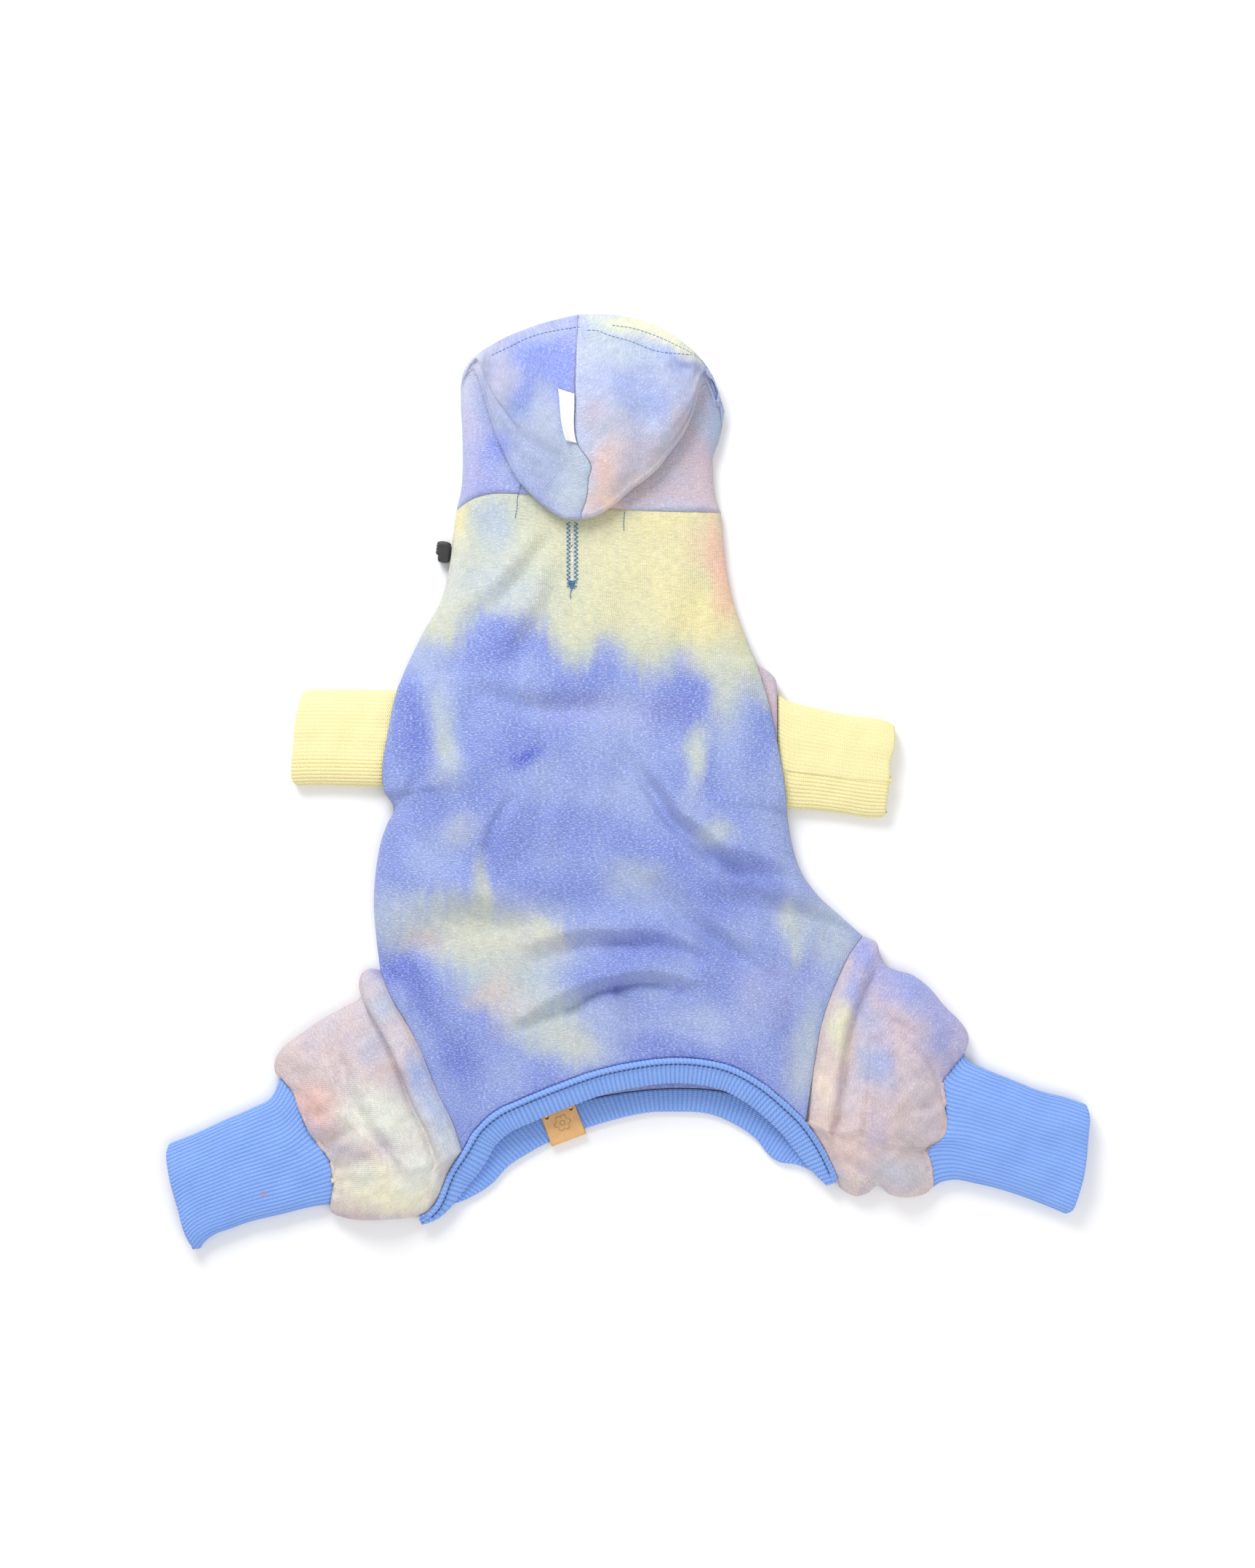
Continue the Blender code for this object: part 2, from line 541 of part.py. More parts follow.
def belly_panel():
    """Lower body: flat on the floor, curled up at its sides to meet the back."""
    across = panel_shares(np.array(HOOD_COLUMNS[:1] + HOOD_COLUMNS[2:]))
    left, left_height = belly_side("left")
    right, right_height = belly_side("right")
    down = left[:, 1] + right[:, 1]
    along = (down[0] - down) / (down[0] - down[-1])
    arc_at = BELLY_CORNER_SHARES[0] + (BELLY_CORNER_SHARES[1] - BELLY_CORNER_SHARES[0]) * across
    plan = patch(neck_seam(across), belly_seam(arc_at), left, right, across, panel_fade(along))
    u = across[None, :]
    edge = (1 - u) * left_height[:, None] + u * right_height[:, None]
    height = edge * (1 - smooth_step(np.minimum(u, 1 - u) / BELLY_CURL))
    height = height + BELLY_BAND_LIFT * smooth_step((along[:, None] - 0.9) / 0.1)
    grid = np.concatenate([plan, height[..., None]], axis=2)
    grid[0, :, 1] -= SEAM_GAP / 2
    return clear_of_seams(grid, len(left) - len(seam_rows()) - 1)


def sleeve(side):
    """Short sleeve under the body's edge, from the armhole to the cuff."""
    shape = CUFF_SHAPES[side]
    shares = ring_shares(5, 5)
    along = trimmed(1, SLEEVE_LENGTH)
    front = bow(cuff_corner(side, "root_front"), cuff_corner(side, "inner_front"), shape["sleeve_front"], along)
    rear = bow(cuff_corner(side, "root_rear"), cuff_corner(side, "inner_rear"), ((0, 0), (1, 0)), along)
    root = bow(cuff_corner(side, "root_front"), cuff_corner(side, "root_rear"), ((0, 0), (1, 0)), shares)
    cuff = bow(cuff_corner(side, "inner_front"), cuff_corner(side, "inner_rear"), ((0, 0), (1, 0)), shares)
    level = np.ones((len(along), 1))
    top = tube_height(shares[None, :], FRONT_CUFF_HEIGHT) * level
    bottom = tube_floor(shares[None, :], FRONT_CUFF_HEIGHT) * level
    return tube(root, cuff, front, rear, top, bottom, shares, along)


def front_cuff(side):
    """Front cuff of rib knit, its ribs along its length."""
    shape = CUFF_SHAPES[side]
    shares = ring_shares(6, 6)
    along = trimmed(CUFF_ALONG, FRONT_CUFF_LENGTH)
    front = bow(cuff_corner(side, "inner_front"), cuff_corner(side, "end_front"), shape["front"], along)
    rear = bow(cuff_corner(side, "inner_rear"), cuff_corner(side, "end_rear"), shape["rear"], along)
    inner = bow(cuff_corner(side, "inner_front"), cuff_corner(side, "inner_rear"), ((0, 0), (1, 0)), shares)
    end = bow(cuff_corner(side, "end_front"), cuff_corner(side, "end_rear"), shape["end"], shares)
    level = np.ones((len(along), 1))
    top = tube_height(shares[None, :], FRONT_CUFF_HEIGHT) * level
    bottom = tube_floor(shares[None, :], FRONT_CUFF_HEIGHT) * level
    return tube(inner, end, front, rear, top, bottom, shares, along)


def leg_root(side, shares):
    """Root line of a leg: down the seam of leg and body, then along the rump opening to its tip."""
    seam_part = leg_root_corner(side)
    tip_share = LEG_TIP_SHARES[0] if side == "left" else LEG_TIP_SHARES[1]
    corner_share = CORNER_SHARES[0] if side == "left" else CORNER_SHARES[1]
    seam = leg_seam(side, np.clip(shares / seam_part, 0, 1))
    arc_at = corner_share + (tip_share - corner_share) * np.clip((shares - seam_part) / (1 - seam_part), 0, 1)
    plan = np.where((shares <= seam_part)[:, None], seam, rump_arc(arc_at))
    height = np.where(shares <= seam_part, seam_height(np.clip(shares / seam_part, 0, 1)), rump_height(arc_at))
    return plan, height


def leg_root_corner(side):
    """Share of a leg's root line that is its seam with the body."""
    seam = np.linalg.norm(np.diff(leg_seam(side, np.linspace(0, 1, 20)), axis=0), axis=1).sum()
    span = (LEG_TIP_SHARES[0], CORNER_SHARES[0]) if side == "left" else (CORNER_SHARES[1], LEG_TIP_SHARES[1])
    rest = np.linalg.norm(np.diff(rump_arc(np.linspace(*span, 20)), axis=0), axis=1).sum()
    return seam / (seam + rest)


def leg_end(side):
    """Front and rear corner of a leg where its cuff begins."""
    shape = LEG_SHAPES[side]
    root_ends = leg_root(side, np.array([0.0, 1.0]))[0]
    middle = root_ends.mean(axis=0) + LEG_LENGTH * heading(shape["heading"])
    half = LEG_END_WIDTH / 2 * heading(shape["line_heading"])
    return middle - half, middle + half


def cuff_end(side):
    """Front and rear corner of a rear cuff's open end."""
    shape = LEG_SHAPES[side]
    front, rear = leg_end(side)
    middle = (front + rear) / 2 + REAR_CUFF_LENGTH * heading(shape["cuff_heading"])
    half = REAR_CUFF_WIDTH / 2 * heading(shape["end_heading"])
    return middle - half, middle + half


def rear_leg(side):
    """Full, gathered leg between the body, the rump opening and its cuff."""
    shape = LEG_SHAPES[side]
    corner = leg_root_corner(side)
    shares = ring_shares(*TUBE_ACROSS, corner)
    along = trimmed(LEG_ALONG, LEG_LENGTH, 2 * SEAM_GAP, CUFF_GAP)
    root, root_height = leg_root(side, shares)
    end_front, end_rear = leg_end(side)
    front = bow(root[0], end_front, shape["front"], along)
    rear = bow(root[-1], end_rear, shape["rear"], along)
    end = bow(end_front, end_rear, shape["cuff_line"], shares)
    w = shares[None, :]
    v = along[:, None]
    middle = EDGE_HEIGHT + (0.4 * REAR_CUFF_HEIGHT - EDGE_HEIGHT) * v
    closing = np.sqrt(np.clip((1 - w) / 0.06, 0, 1))
    root_rise = (root_height[None, :] - EDGE_HEIGHT) * closing
    rise = (LEG_HEIGHT * column(LEG_HEIGHTS, v) - middle) * lens(w, 2.4)
    root_share = smooth_step(1 - v / 0.12)
    to_cuff = smooth_step((v - 0.92) / 0.08)
    cuff_rise = tube_height(w, REAR_CUFF_HEIGHT) - 0.4 * REAR_CUFF_HEIGHT
    rise = rise + root_share * (root_rise - rise)
    rise = rise + to_cuff * (cuff_rise - rise)
    return tube(root, end, front, rear, middle + rise, middle * (1 - lens(w, 3.4)), shares, along)


def rear_cuff(side):
    """Rear cuff of rib knit."""
    shape = LEG_SHAPES[side]
    shares = ring_shares(*TUBE_ACROSS, leg_root_corner(side))
    along = trimmed(CUFF_ALONG + 1, REAR_CUFF_LENGTH, CUFF_GAP)
    inner_front, inner_rear = leg_end(side)
    end_front, end_rear = cuff_end(side)
    inner = bow(inner_front, inner_rear, shape["cuff_line"], shares)
    end = bow(end_front, end_rear, shape["cuff_end"], shares)
    front = bow(inner_front, end_front, shape["cuff_front"], along)
    rear = bow(inner_rear, end_rear, shape["cuff_rear"], along)
    level = np.ones((len(along), 1))
    top = tube_height(shares[None, :], REAR_CUFF_HEIGHT) * level
    bottom = tube_floor(shares[None, :], REAR_CUFF_HEIGHT) * level
    return tube(inner, end, front, rear, top, bottom, shares, along)


def hood_half(side):
    """Half of the hood: round from the centre seam to the throat, its back folded down and up again."""
    shape = HOOD_SHAPES[side]
    sign = shape["sign"]
    to_side = len(HOOD_COLUMNS) - 1
    share = np.array(HOOD_COLUMNS + HOOD_COLUMNS[-2::-1])
    over_back = np.arange(len(share)) <= to_side
    half = HOOD_CENTRE_SHARE if side == "left" else 1 - HOOD_CENTRE_SHARE
    neck_share = HOOD_CENTRE_SHARE + sign * half * share
    neck = neck_seam(neck_share)
    hidden = HOOD_LENGTH * column(shape["hidden_fold"], share)
    over_neck = HOOD_LENGTH * column(shape["neck_fold"], share)
    hem = HOOD_LENGTH * column(shape["hem"], share)
    turn = np.pi * smooth_step((1 - share) / 0.36)
    radii = (INNER_FOLD_RADIUS * slant(hidden, to_side), OUTER_FOLD_RADIUS * slant(over_neck, to_side))
    forward, rise, layer_share = folded_path(neck[:, 1], hidden, over_neck, hem, turn, radii)

    side_forward = forward[:, to_side:to_side + 1]
    side_share = (side_forward - side_forward[0]) / (side_forward[-1] - side_forward[0])
    throat_hem = hem[to_side] + (HOOD_LENGTH * shape["throat"] - hem[to_side]) * (1 - share)
    throat = neck[:, 1] + (throat_hem - neck[:, 1]) * side_share
    forward = np.where(over_back[None, :], forward, throat)
    rise = np.where(over_back[None, :], rise, 0)
    base_top = neck_height(neck_share)
    base_floor = EDGE_HEIGHT * (1 - lens(neck_share, 3.4))
    bulge = HOOD_BULGE * column(HOOD_RISE, layer_share) * lens(neck_share, 2.0)[None, :]
    height = np.where(over_back[None, :], base_top + rise + bulge, base_floor)

    from_neck = np.clip((forward - neck[:, 1]) / HOOD_LENGTH, 0, 1)
    side_shift = sign * NECK_WIDTH * (column(shape["side"], from_neck) - 0.5)
    seam_shift = NECK_WIDTH * (column(HOOD_SEAM, layer_share) - HOOD_SEAM[0][1])
    x = neck[:, 0] + side_shift * share + np.where(over_back[None, :], seam_shift * (1 - share), 0)
    grid = np.stack([x, forward, height], axis=2)
    grid[0, :, 1] += SEAM_GAP / 2
    for edge, beside in ((0, 1), (-1, -2)):
        grid[:, edge, 0] += sign * HOOD_SEAM_GAP / 2
        grid[:, beside, 1:] = grid[:, edge, 1:]
    return grid


def slant(line, to_side):
    """How much longer a fold's round is along Y than straight across the fold's line."""
    across = NECK_WIDTH / 2 * np.array(HOOD_COLUMNS)
    longer = np.hypot(1, np.gradient(line[:to_side + 1], across))
    return np.concatenate([longer, longer[-2::-1]])


def folded_path(neck, hidden, over_neck, hem, turn, radii):
    """Run of a wall that goes forward from the neck, turns back at the hidden fold, and forward again.

    Three straight runs joined by two arcs; turn is the angle of both arcs, 0 where the wall runs straight.
    Returns how far forward each point lies, its rise, and its share along the last run.
    """
    inner, outer = radii
    lean = np.sin(np.minimum(turn, np.pi / 2))
    creep = FOLD_STEP * (1 - turn / np.pi)
    first_end = hidden - inner * lean
    back_run = np.maximum(hidden - over_neck - (inner + outer) * lean, 0)
    forward = []
    rise = []
    share = []
    for t in np.linspace(0, 1, HOOD_ALONG[0] + 1):
        forward.append(neck + t * (first_end - neck))
        rise.append(0 * neck)
        share.append(0 * neck)
    y = forward[-1]
    z = rise[-1]
    for t in np.linspace(0, 1, HOOD_ALONG[1] + 1)[1:]:
        forward.append(y + inner * np.sin(t * turn) + t * HOOD_ALONG[1] * creep)
        rise.append(z + INNER_FOLD_RADIUS * (1 - np.cos(t * turn)))
        share.append(0 * neck)
    y = forward[-1]
    z = rise[-1]
    for t in np.linspace(0, 1, HOOD_ALONG[2] + 1)[1:]:
        forward.append(y + t * back_run * np.cos(turn) + t * HOOD_ALONG[2] * creep)
        rise.append(z + t * back_run * np.sin(turn))
        share.append(0 * neck)
    y = forward[-1]
    z = rise[-1]
    for t in np.linspace(0, 1, HOOD_ALONG[3] + 1)[1:]:
        forward.append(y + outer * (np.sin(turn) - np.sin((1 - t) * turn)) + t * HOOD_ALONG[3] * creep)
        rise.append(z + OUTER_FOLD_RADIUS * (np.cos((1 - t) * turn) - np.cos(turn)))
        share.append(0 * neck)
    y = forward[-1]
    z = rise[-1]
    for t in np.linspace(0, 1, HOOD_ALONG[4] + 1)[1:]:
        forward.append(y + t * (hem - y))
        rise.append(z)
        share.append(t + 0 * neck)
    return np.array(forward), np.array(rise), np.array(share)


def strip(outer, inner, outer_height, inner_height, across):
    """Grid of a band between two edge curves."""
    t = across[:, None, None]
    plan = (1 - t) * outer[None] + t * inner[None]
    height = (1 - across[:, None]) * outer_height[None] + across[:, None] * inner_height[None]
    return np.concatenate([plan, height[..., None]], axis=2)


def left_of(curve):
    """Unit steps to the left of a plan curve's heading."""
    step = np.gradient(curve, axis=0)
    step /= np.linalg.norm(step, axis=1)[:, None]
    return np.stack([-step[:, 1], step[:, 0]], axis=1)


def rump_band_back():
    """Rib band on the back's edge of the rump opening, inside its piping."""
    at = np.linspace(*BAND_SPAN, BAND_ALONG + 1)
    seam = rump_arc(at)
    inwards = -left_of(seam)
    start = 2 * PIPING_RADIUS + 2 * SEATED_GAP
    width = column(BAND_WIDTHS, at)
    outer = seam + start * inwards
    inner = outer + (BAND_WIDTH * width)[:, None] * inwards
    height = rump_height(at) + 0.4 * PIPING_RADIUS
    return strip(outer, inner, height, height - BAND_DROP * width, np.linspace(0, 1, 3))


def piping():
    """Centre line of the piping along the rump seam."""
    at = np.linspace(*BAND_SPAN, BAND_ALONG + 1)
    seam = rump_arc(at)
    centre = seam - (PIPING_RADIUS + SEATED_GAP) * left_of(seam)
    return np.concatenate([centre, rump_height(at)[:, None]], axis=1)


def rump_band_belly():
    """Rib band on the belly's edge of the rump opening, lower than the one on the back."""
    at = np.linspace(*BELLY_BAND_SPAN, BAND_ALONG + 1)
    outer = belly_seam(at)
    inner = belly_edge(at)
    outer = outer - SEAM_GAP * left_of(outer)
    level = np.full(len(at), BELLY_BAND_LIFT + RIB_KNIT)
    return strip(outer, inner, level, level, np.linspace(0, 1, 3))


def hood_tag():
    """Tape tag sewn into the hood's centre seam, lying to the left of it with its far edge a little up."""
    top = hood_half("left")[-HOOD_ALONG[4] - 1:]
    rows = []
    for forward in np.linspace(0.572 * HOOD_LENGTH, 0.572 * HOOD_LENGTH - TAG_LENGTH, 9):
        seam = [np.interp(forward, top[:, 0, 1], top[:, 0, k]) for k in (0, 2)]
        beside = [np.interp(forward, top[:, 1, 1], top[:, 1, k]) for k in (0, 2)]
        reach = (beside[0] - seam[0])
        row = []
        for t in (0.0, 0.5, 1.0):
            share = t * TAG_WIDTH / abs(reach)
            x = seam[0] - SEATED_GAP - t * TAG_WIDTH
            z = seam[1] + share * (beside[1] - seam[1]) + 2 * SEATED_GAP + TAG_TAPE + TAG_CURL * t * t
            row.append((x, forward, z))
        rows.append(row)
    return np.array(rows)


def leather_label():
    """Leather label folded over the free edge of the belly's band: upper leaf, fold and lower leaf."""
    at = station_at(BELLY_EDGE, 0.3765)
    edge = belly_edge(np.array([at - 0.02, at, at + 0.02]))
    along = (edge[2] - edge[0]) / np.linalg.norm(edge[2] - edge[0])
    inwards = np.array([-along[1], along[0]])
    top = BELLY_BAND_LIFT + RIB_KNIT + SEATED_GAP + LEATHER
    bottom = BELLY_BAND_LIFT - SEATED_GAP - LEATHER
    radius = (top - bottom) / 2
    profile = [(LABEL_REACH, top), (LABEL_REACH / 2, top)]
    for angle in np.linspace(90, 270, 9):
        profile.append((-SEATED_GAP + radius * np.cos(radians(angle)), bottom + radius + radius * np.sin(radians(angle))))
    profile += [(LABEL_REACH / 2, bottom), (0.95 * LABEL_REACH, bottom)]
    grid = np.empty((len(profile), 3, 3))
    for i, (reach, height) in enumerate(profile):
        for j, t in enumerate((-0.5, 0.0, 0.5)):
            grid[i, j, :2] = edge[1] + reach * inwards + t * LABEL_WIDTH * along
            grid[i, j, 2] = height
    return grid


def slit_cutter():
    """Cutter of the leash slit: a long rounded prism through the back, just behind the neck seam."""
    ends = []
    x = -0.0605 * NECK_WIDTH
    for centre, first in ((-SLIT_FROM_NECK - SLIT_WIDTH / 2, 0), (SLIT_WIDTH / 2 - SLIT_FROM_NECK - SLIT_LENGTH, 180)):
        for angle in np.linspace(first, first + 180, 5):
            ends.append((x + SLIT_WIDTH / 2 * np.cos(radians(angle)), centre + SLIT_WIDTH / 2 * np.sin(radians(angle))))
    return prism(ends, 0.4 * BODY_HEIGHT, 1.5 * BODY_HEIGHT)


def toggle():
    """Outline of the cord toggle, pressed against the left side seam: a wide head and a narrower foot."""
    middle = side_curve("left", np.array([0.078, 0.088, 0.098]))
    down = (middle[2] - middle[0]) / np.linalg.norm(middle[2] - middle[0])
    out = np.array([down[1], -down[0]])
    half = TOGGLE_LENGTH / 2
    corners = ((0, -half), (TOGGLE_WIDTH, -half), (TOGGLE_WIDTH, 0.25 * half), (0.7 * TOGGLE_WIDTH, 0.35 * half),
               (0.66 * TOGGLE_WIDTH, half), (0, half))
    outline = [middle[1] + (2 * SEATED_GAP + reach) * out + run * down for reach, run in corners]
    return prism(outline, 0.0, TOGGLE_HEIGHT)


def prism(outline, bottom, top):
    """Points and faces of an upright prism on a plan outline."""
    area = sum(a[0] * b[1] - b[0] * a[1] for a, b in zip(outline, list(outline[1:]) + [outline[0]]))
    outline = list(outline) if area > 0 else list(outline)[::-1]
    count = len(outline)
    points = [(x, y, bottom) for x, y in outline] + [(x, y, top) for x, y in outline]
    faces = [tuple(range(count))[::-1], tuple(range(count, 2 * count))]
    faces += [(i, (i + 1) % count, count + (i + 1) % count, count + i) for i in range(count)]
    return np.array(points), faces


def material(name):
    """Principled material of one finish."""
    found = bpy.data.materials.get(name)
    if found:
        return found
    made = bpy.data.materials.new(name)
    made.use_nodes = True
    shader = made.node_tree.nodes["Principled BSDF"]
    shader.inputs["Base Color"].default_value = (*COLOURS[name], 1)
    shader.inputs["Roughness"].default_value = 0.5 if name == "plastic_black" else 0.9
    shader.inputs["Metallic"].default_value = 0.0
    return made


def add_object(name, points, faces, finish):
    """Object of one piece from its points and faces."""
    mesh = bpy.data.meshes.new(name)
    mesh.from_pydata([tuple(map(float, p)) for p in points], [], faces)
    mesh.materials.append(material(finish))
    mesh.shade_smooth()
    piece = bpy.data.objects.new(name, mesh)
    bpy.context.scene.collection.objects.link(piece)
    return piece


def grid_faces(rows, columns, ring, turned):
    """Quads of a grid; a ring joins its last column to its first."""
    faces = []
    for i in range(rows - 1):
        for j in range(columns if ring else columns - 1):
            k = (j + 1) % columns
            quad = (i * columns + j, (i + 1) * columns + j, (i + 1) * columns + k, i * columns + k)
            faces.append(quad[::-1] if turned else quad)
    return faces


def cloth(name, grid, wall, finish, ring=False, turned=False):
    """Cloth piece: its outer surface, with the wall laid on its inner side."""
    rows, columns = grid.shape[:2]
    piece = add_object(name, grid.reshape(-1, 3), grid_faces(rows, columns, ring, turned), finish)
    solidify = piece.modifiers.new("wall", "SOLIDIFY")
    solidify.thickness = wall
    solidify.offset = -1
    return piece


def cut_slit(panel, shift):
    """Leash slit cut through the back."""
    points, faces = slit_cutter()
    cutter = add_object("slit_cutter", points + shift, faces, "terry_back")
    cutter.hide_render = True
    cutter.display_type = "WIRE"
    cut = panel.modifiers.new("slit", "BOOLEAN")
    cut.object = cutter
    cut.operation = "DIFFERENCE"
    cut.solver = "EXACT"


def add_piping(shift):
    """Piping: a round cord of rib knit along the rump seam."""
    route = piping() + shift
    curve = bpy.data.curves.new("band_piping", "CURVE")
    curve.dimensions = "3D"
    curve.bevel_depth = PIPING_RADIUS
    curve.bevel_resolution = 1
    curve.use_fill_caps = True
    spline = curve.splines.new("POLY")
    spline.points.add(len(route) - 1)
    for point, place in zip(spline.points, route):
        point.co = (*place, 1)
    curve.materials.append(material("rib_blue"))
    piece = bpy.data.objects.new("band_piping", curve)
    bpy.context.scene.collection.objects.link(piece)


def add_toggle(shift):
    """Moulded cord toggle with softened edges."""
    points, faces = toggle()
    piece = add_object("cord_toggle", points + shift, faces, "plastic_black")
    bevel = piece.modifiers.new("softened", "BEVEL")
    bevel.width = TOGGLE_EDGE
    bevel.segments = 2
    bevel.limit_method = "ANGLE"


def all_grids():
    """Outer surface of every cloth piece, with its wall, finish and way round."""
    grids = {"back_panel": (back_panel(), TERRY, "terry_back", False, False)}
    grids["belly_panel"] = (belly_panel(), TERRY, "terry_belly", False, True)
    for side in ("left", "right"):
        other = side == "right"
        grids["hood_" + side] = (hood_half(side), TERRY, "terry_hood", False, other)
        grids["front_sleeve_" + side] = (sleeve(side), TERRY, "terry_belly", True, other)
        grids["front_cuff_" + side] = (front_cuff(side), RIB_KNIT, "rib_yellow", True, other)
        grids["rear_leg_" + side] = (rear_leg(side), TERRY, "terry_leg", True, other)
        grids["rear_cuff_" + side] = (rear_cuff(side), RIB_KNIT, "rib_blue", True, other)
    grids["rump_band_back"] = (rump_band_back(), RIB_KNIT, "rib_blue", False, False)
    grids["rump_band_belly"] = (rump_band_belly(), RIB_KNIT, "rib_blue", False, False)
    grids["leather_label"] = (leather_label(), LEATHER, "leather_tan", False, False)
    grids["hood_tag"] = (hood_tag(), TAG_TAPE, "tape_white", False, True)
    return grids


def main():
    """Builds every piece, moved so that the origin lies under the middle of the whole."""
    for old in list(bpy.data.objects):
        bpy.data.objects.remove(old)
    grids = all_grids()
    points = np.concatenate([entry[0].reshape(-1, 3) for entry in grids.values()])
    middle = (points.min(axis=0) + points.max(axis=0)) / 2
    shift = np.array([-middle[0], -middle[1], 0.0])
    for name, (grid, wall, finish, ring, turned) in grids.items():
        cloth(name, grid + shift, wall, finish, ring, turned)
    cut_slit(bpy.data.objects["back_panel"], shift)
    add_piping(shift)
    add_toggle(shift)


main()
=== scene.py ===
"""Dog jumpsuit of tie-dyed terry knit, laid flat with its back up, seen from straight above.

Metres, +Z up. Each piece of cloth is a grid of points worked out from its edge curves, as its solid is,
with finer folds, ribs and stitches. Colours are given as sRGB values of 0 to 255.
"""

from math import radians

import bpy
import numpy as np
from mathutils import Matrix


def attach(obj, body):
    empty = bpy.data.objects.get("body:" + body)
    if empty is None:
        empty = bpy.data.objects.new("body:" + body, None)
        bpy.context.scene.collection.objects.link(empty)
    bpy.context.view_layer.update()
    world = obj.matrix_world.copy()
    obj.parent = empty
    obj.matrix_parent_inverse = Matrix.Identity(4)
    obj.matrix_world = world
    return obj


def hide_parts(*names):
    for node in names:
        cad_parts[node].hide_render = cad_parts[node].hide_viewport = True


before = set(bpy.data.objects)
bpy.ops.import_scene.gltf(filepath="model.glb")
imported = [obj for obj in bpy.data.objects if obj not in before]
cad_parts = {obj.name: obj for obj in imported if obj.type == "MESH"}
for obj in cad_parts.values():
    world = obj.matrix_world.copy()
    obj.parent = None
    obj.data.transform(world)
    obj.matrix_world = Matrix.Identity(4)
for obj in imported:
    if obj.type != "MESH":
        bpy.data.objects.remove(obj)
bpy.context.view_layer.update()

# ---- Camera, floor and light
# The camera looks straight down on the garment from far off, as in the photograph. The light is soft and
# falls a little from the head end, and the floor is plain and pale.
MM_PER_PIXEL = 0.45
PHOTO_HEIGHT = 2156
LENS = 80.0
SENSOR = 36.0
CAMERA_PLANE = 0.012
CAMERA_X, CAMERA_Y = -0.0002, -0.0001
FLOOR_LEVEL = -0.0002
FLOOR_CORNERS = ((-3, -3), (3, -3), (3, 3), (-3, 3))

camera_data = bpy.data.cameras.new("camera")
camera_data.lens = LENS
camera_data.sensor_width = SENSOR
camera = bpy.data.objects.new("camera", camera_data)
camera.location = (CAMERA_X, CAMERA_Y, CAMERA_PLANE + LENS / SENSOR * PHOTO_HEIGHT * MM_PER_PIXEL / 1000)
bpy.context.scene.collection.objects.link(camera)
bpy.context.scene.camera = camera


def soft_light(name, place, size, power):
    """Square area light that faces the garment."""
    data = bpy.data.lights.new(name, "AREA")
    data.shape = "SQUARE"
    data.size = size
    data.energy = power
    lamp = bpy.data.objects.new(name, data)
    lamp.location = place
    aim = -np.array(place)
    lamp.rotation_euler = (np.arctan2(np.hypot(aim[0], aim[1]), -aim[2]), 0, np.arctan2(aim[0], -aim[1]) + np.pi)
    bpy.context.scene.collection.objects.link(lamp)


soft_light("key", (-0.55, 1.15, 0.95), 0.8, 20.5)
soft_light("fill", (0.5, -1.0, 1.3), 1.6, 11.0)
world = bpy.data.worlds.new("studio")
world.use_nodes = True
sky = world.node_tree.nodes["Background"].inputs
sky["Color"].default_value = (1.0, 1.0, 1.0, 1)
sky["Strength"].default_value = 0.6
bpy.context.scene.world = world
bpy.context.scene.view_settings.view_transform = "Standard"

floor_mesh = bpy.data.meshes.new("floor")
floor_mesh.from_pydata([(x, y, FLOOR_LEVEL) for x, y in FLOOR_CORNERS], [], [(0, 1, 2, 3)])
floor = bpy.data.objects.new("floor", floor_mesh)
bpy.context.scene.collection.objects.link(floor)
floor_paint = bpy.data.materials.new("pale_floor")
floor_paint.use_nodes = True
paint = floor_paint.node_tree.nodes["Principled BSDF"].inputs
paint["Base Color"].default_value = (0.93, 0.93, 0.94, 1)
paint["Roughness"].default_value = 0.9
floor_mesh.materials.append(floor_paint)

# ---- Back of the body
# The upper body is one panel of terry knit, dyed by hand, that runs from the neck seam to the rump and
# is sewn to the belly at its sides. It lies in soft folds over the layers below it.
TERRY = 0.0018
WALE_PITCH = 0.0013
NECK_MIDDLE = np.array([-0.02433, 0.16936])
BODY_LENGTH = 0.3965
NECK_WIDTH = 0.164
HIP_WIDTH = 0.299
NECK_HEIGHT = 0.018
BODY_HEIGHT = 0.025
EDGE_HEIGHT = 0.005
RUMP_SPAN = 0.2676
RUMP_HEIGHT = 0.024
FRONT_CUFF_LENGTH = 0.069
FRONT_CUFF_WIDTH = 0.0615
FRONT_CUFF_HEIGHT = 0.0125
SIDE_SHARE = 0.66
SEAM_DIP = 0.0006
SEAM_DIP_WIDTH = 0.0020
SLEEVE_CLEARANCE = 0.0012

# Edge curves: share along the chord, share of the chord to the left of its heading
NECK_SEAM = ((0, 0), (0.055, 0.039), (0.13, 0.061), (0.22, 0.062), (0.30, 0.055), (0.47, 0.023),
             (0.63, 0.005), (0.84, -0.001), (1, 0))
LEFT_SIDE = ((0, 0), (0.19, 0), (0.28, -0.031), (0.39, -0.060), (0.50, -0.066), (0.58, -0.064),
             (0.62, -0.053), (0.655, -0.027), (0.685, -0.036), (0.73, -0.044), (0.85, -0.039),
             (0.94, -0.018), (1, 0))
RIGHT_SIDE = ((0, 0), (0.116, -0.027), (0.197, -0.037), (0.34, -0.033), (0.44, -0.034), (0.51, -0.042),
              (0.60, -0.054), (0.75, -0.084), (0.82, -0.085), (0.88, -0.067), (0.94, -0.034), (1, 0))
LEFT_LEG_SEAM = ((0, 0), (0.155, -0.005), (0.29, 0.011), (0.42, 0.021), (0.69, 0.010), (0.85, 0.015), (1, 0))
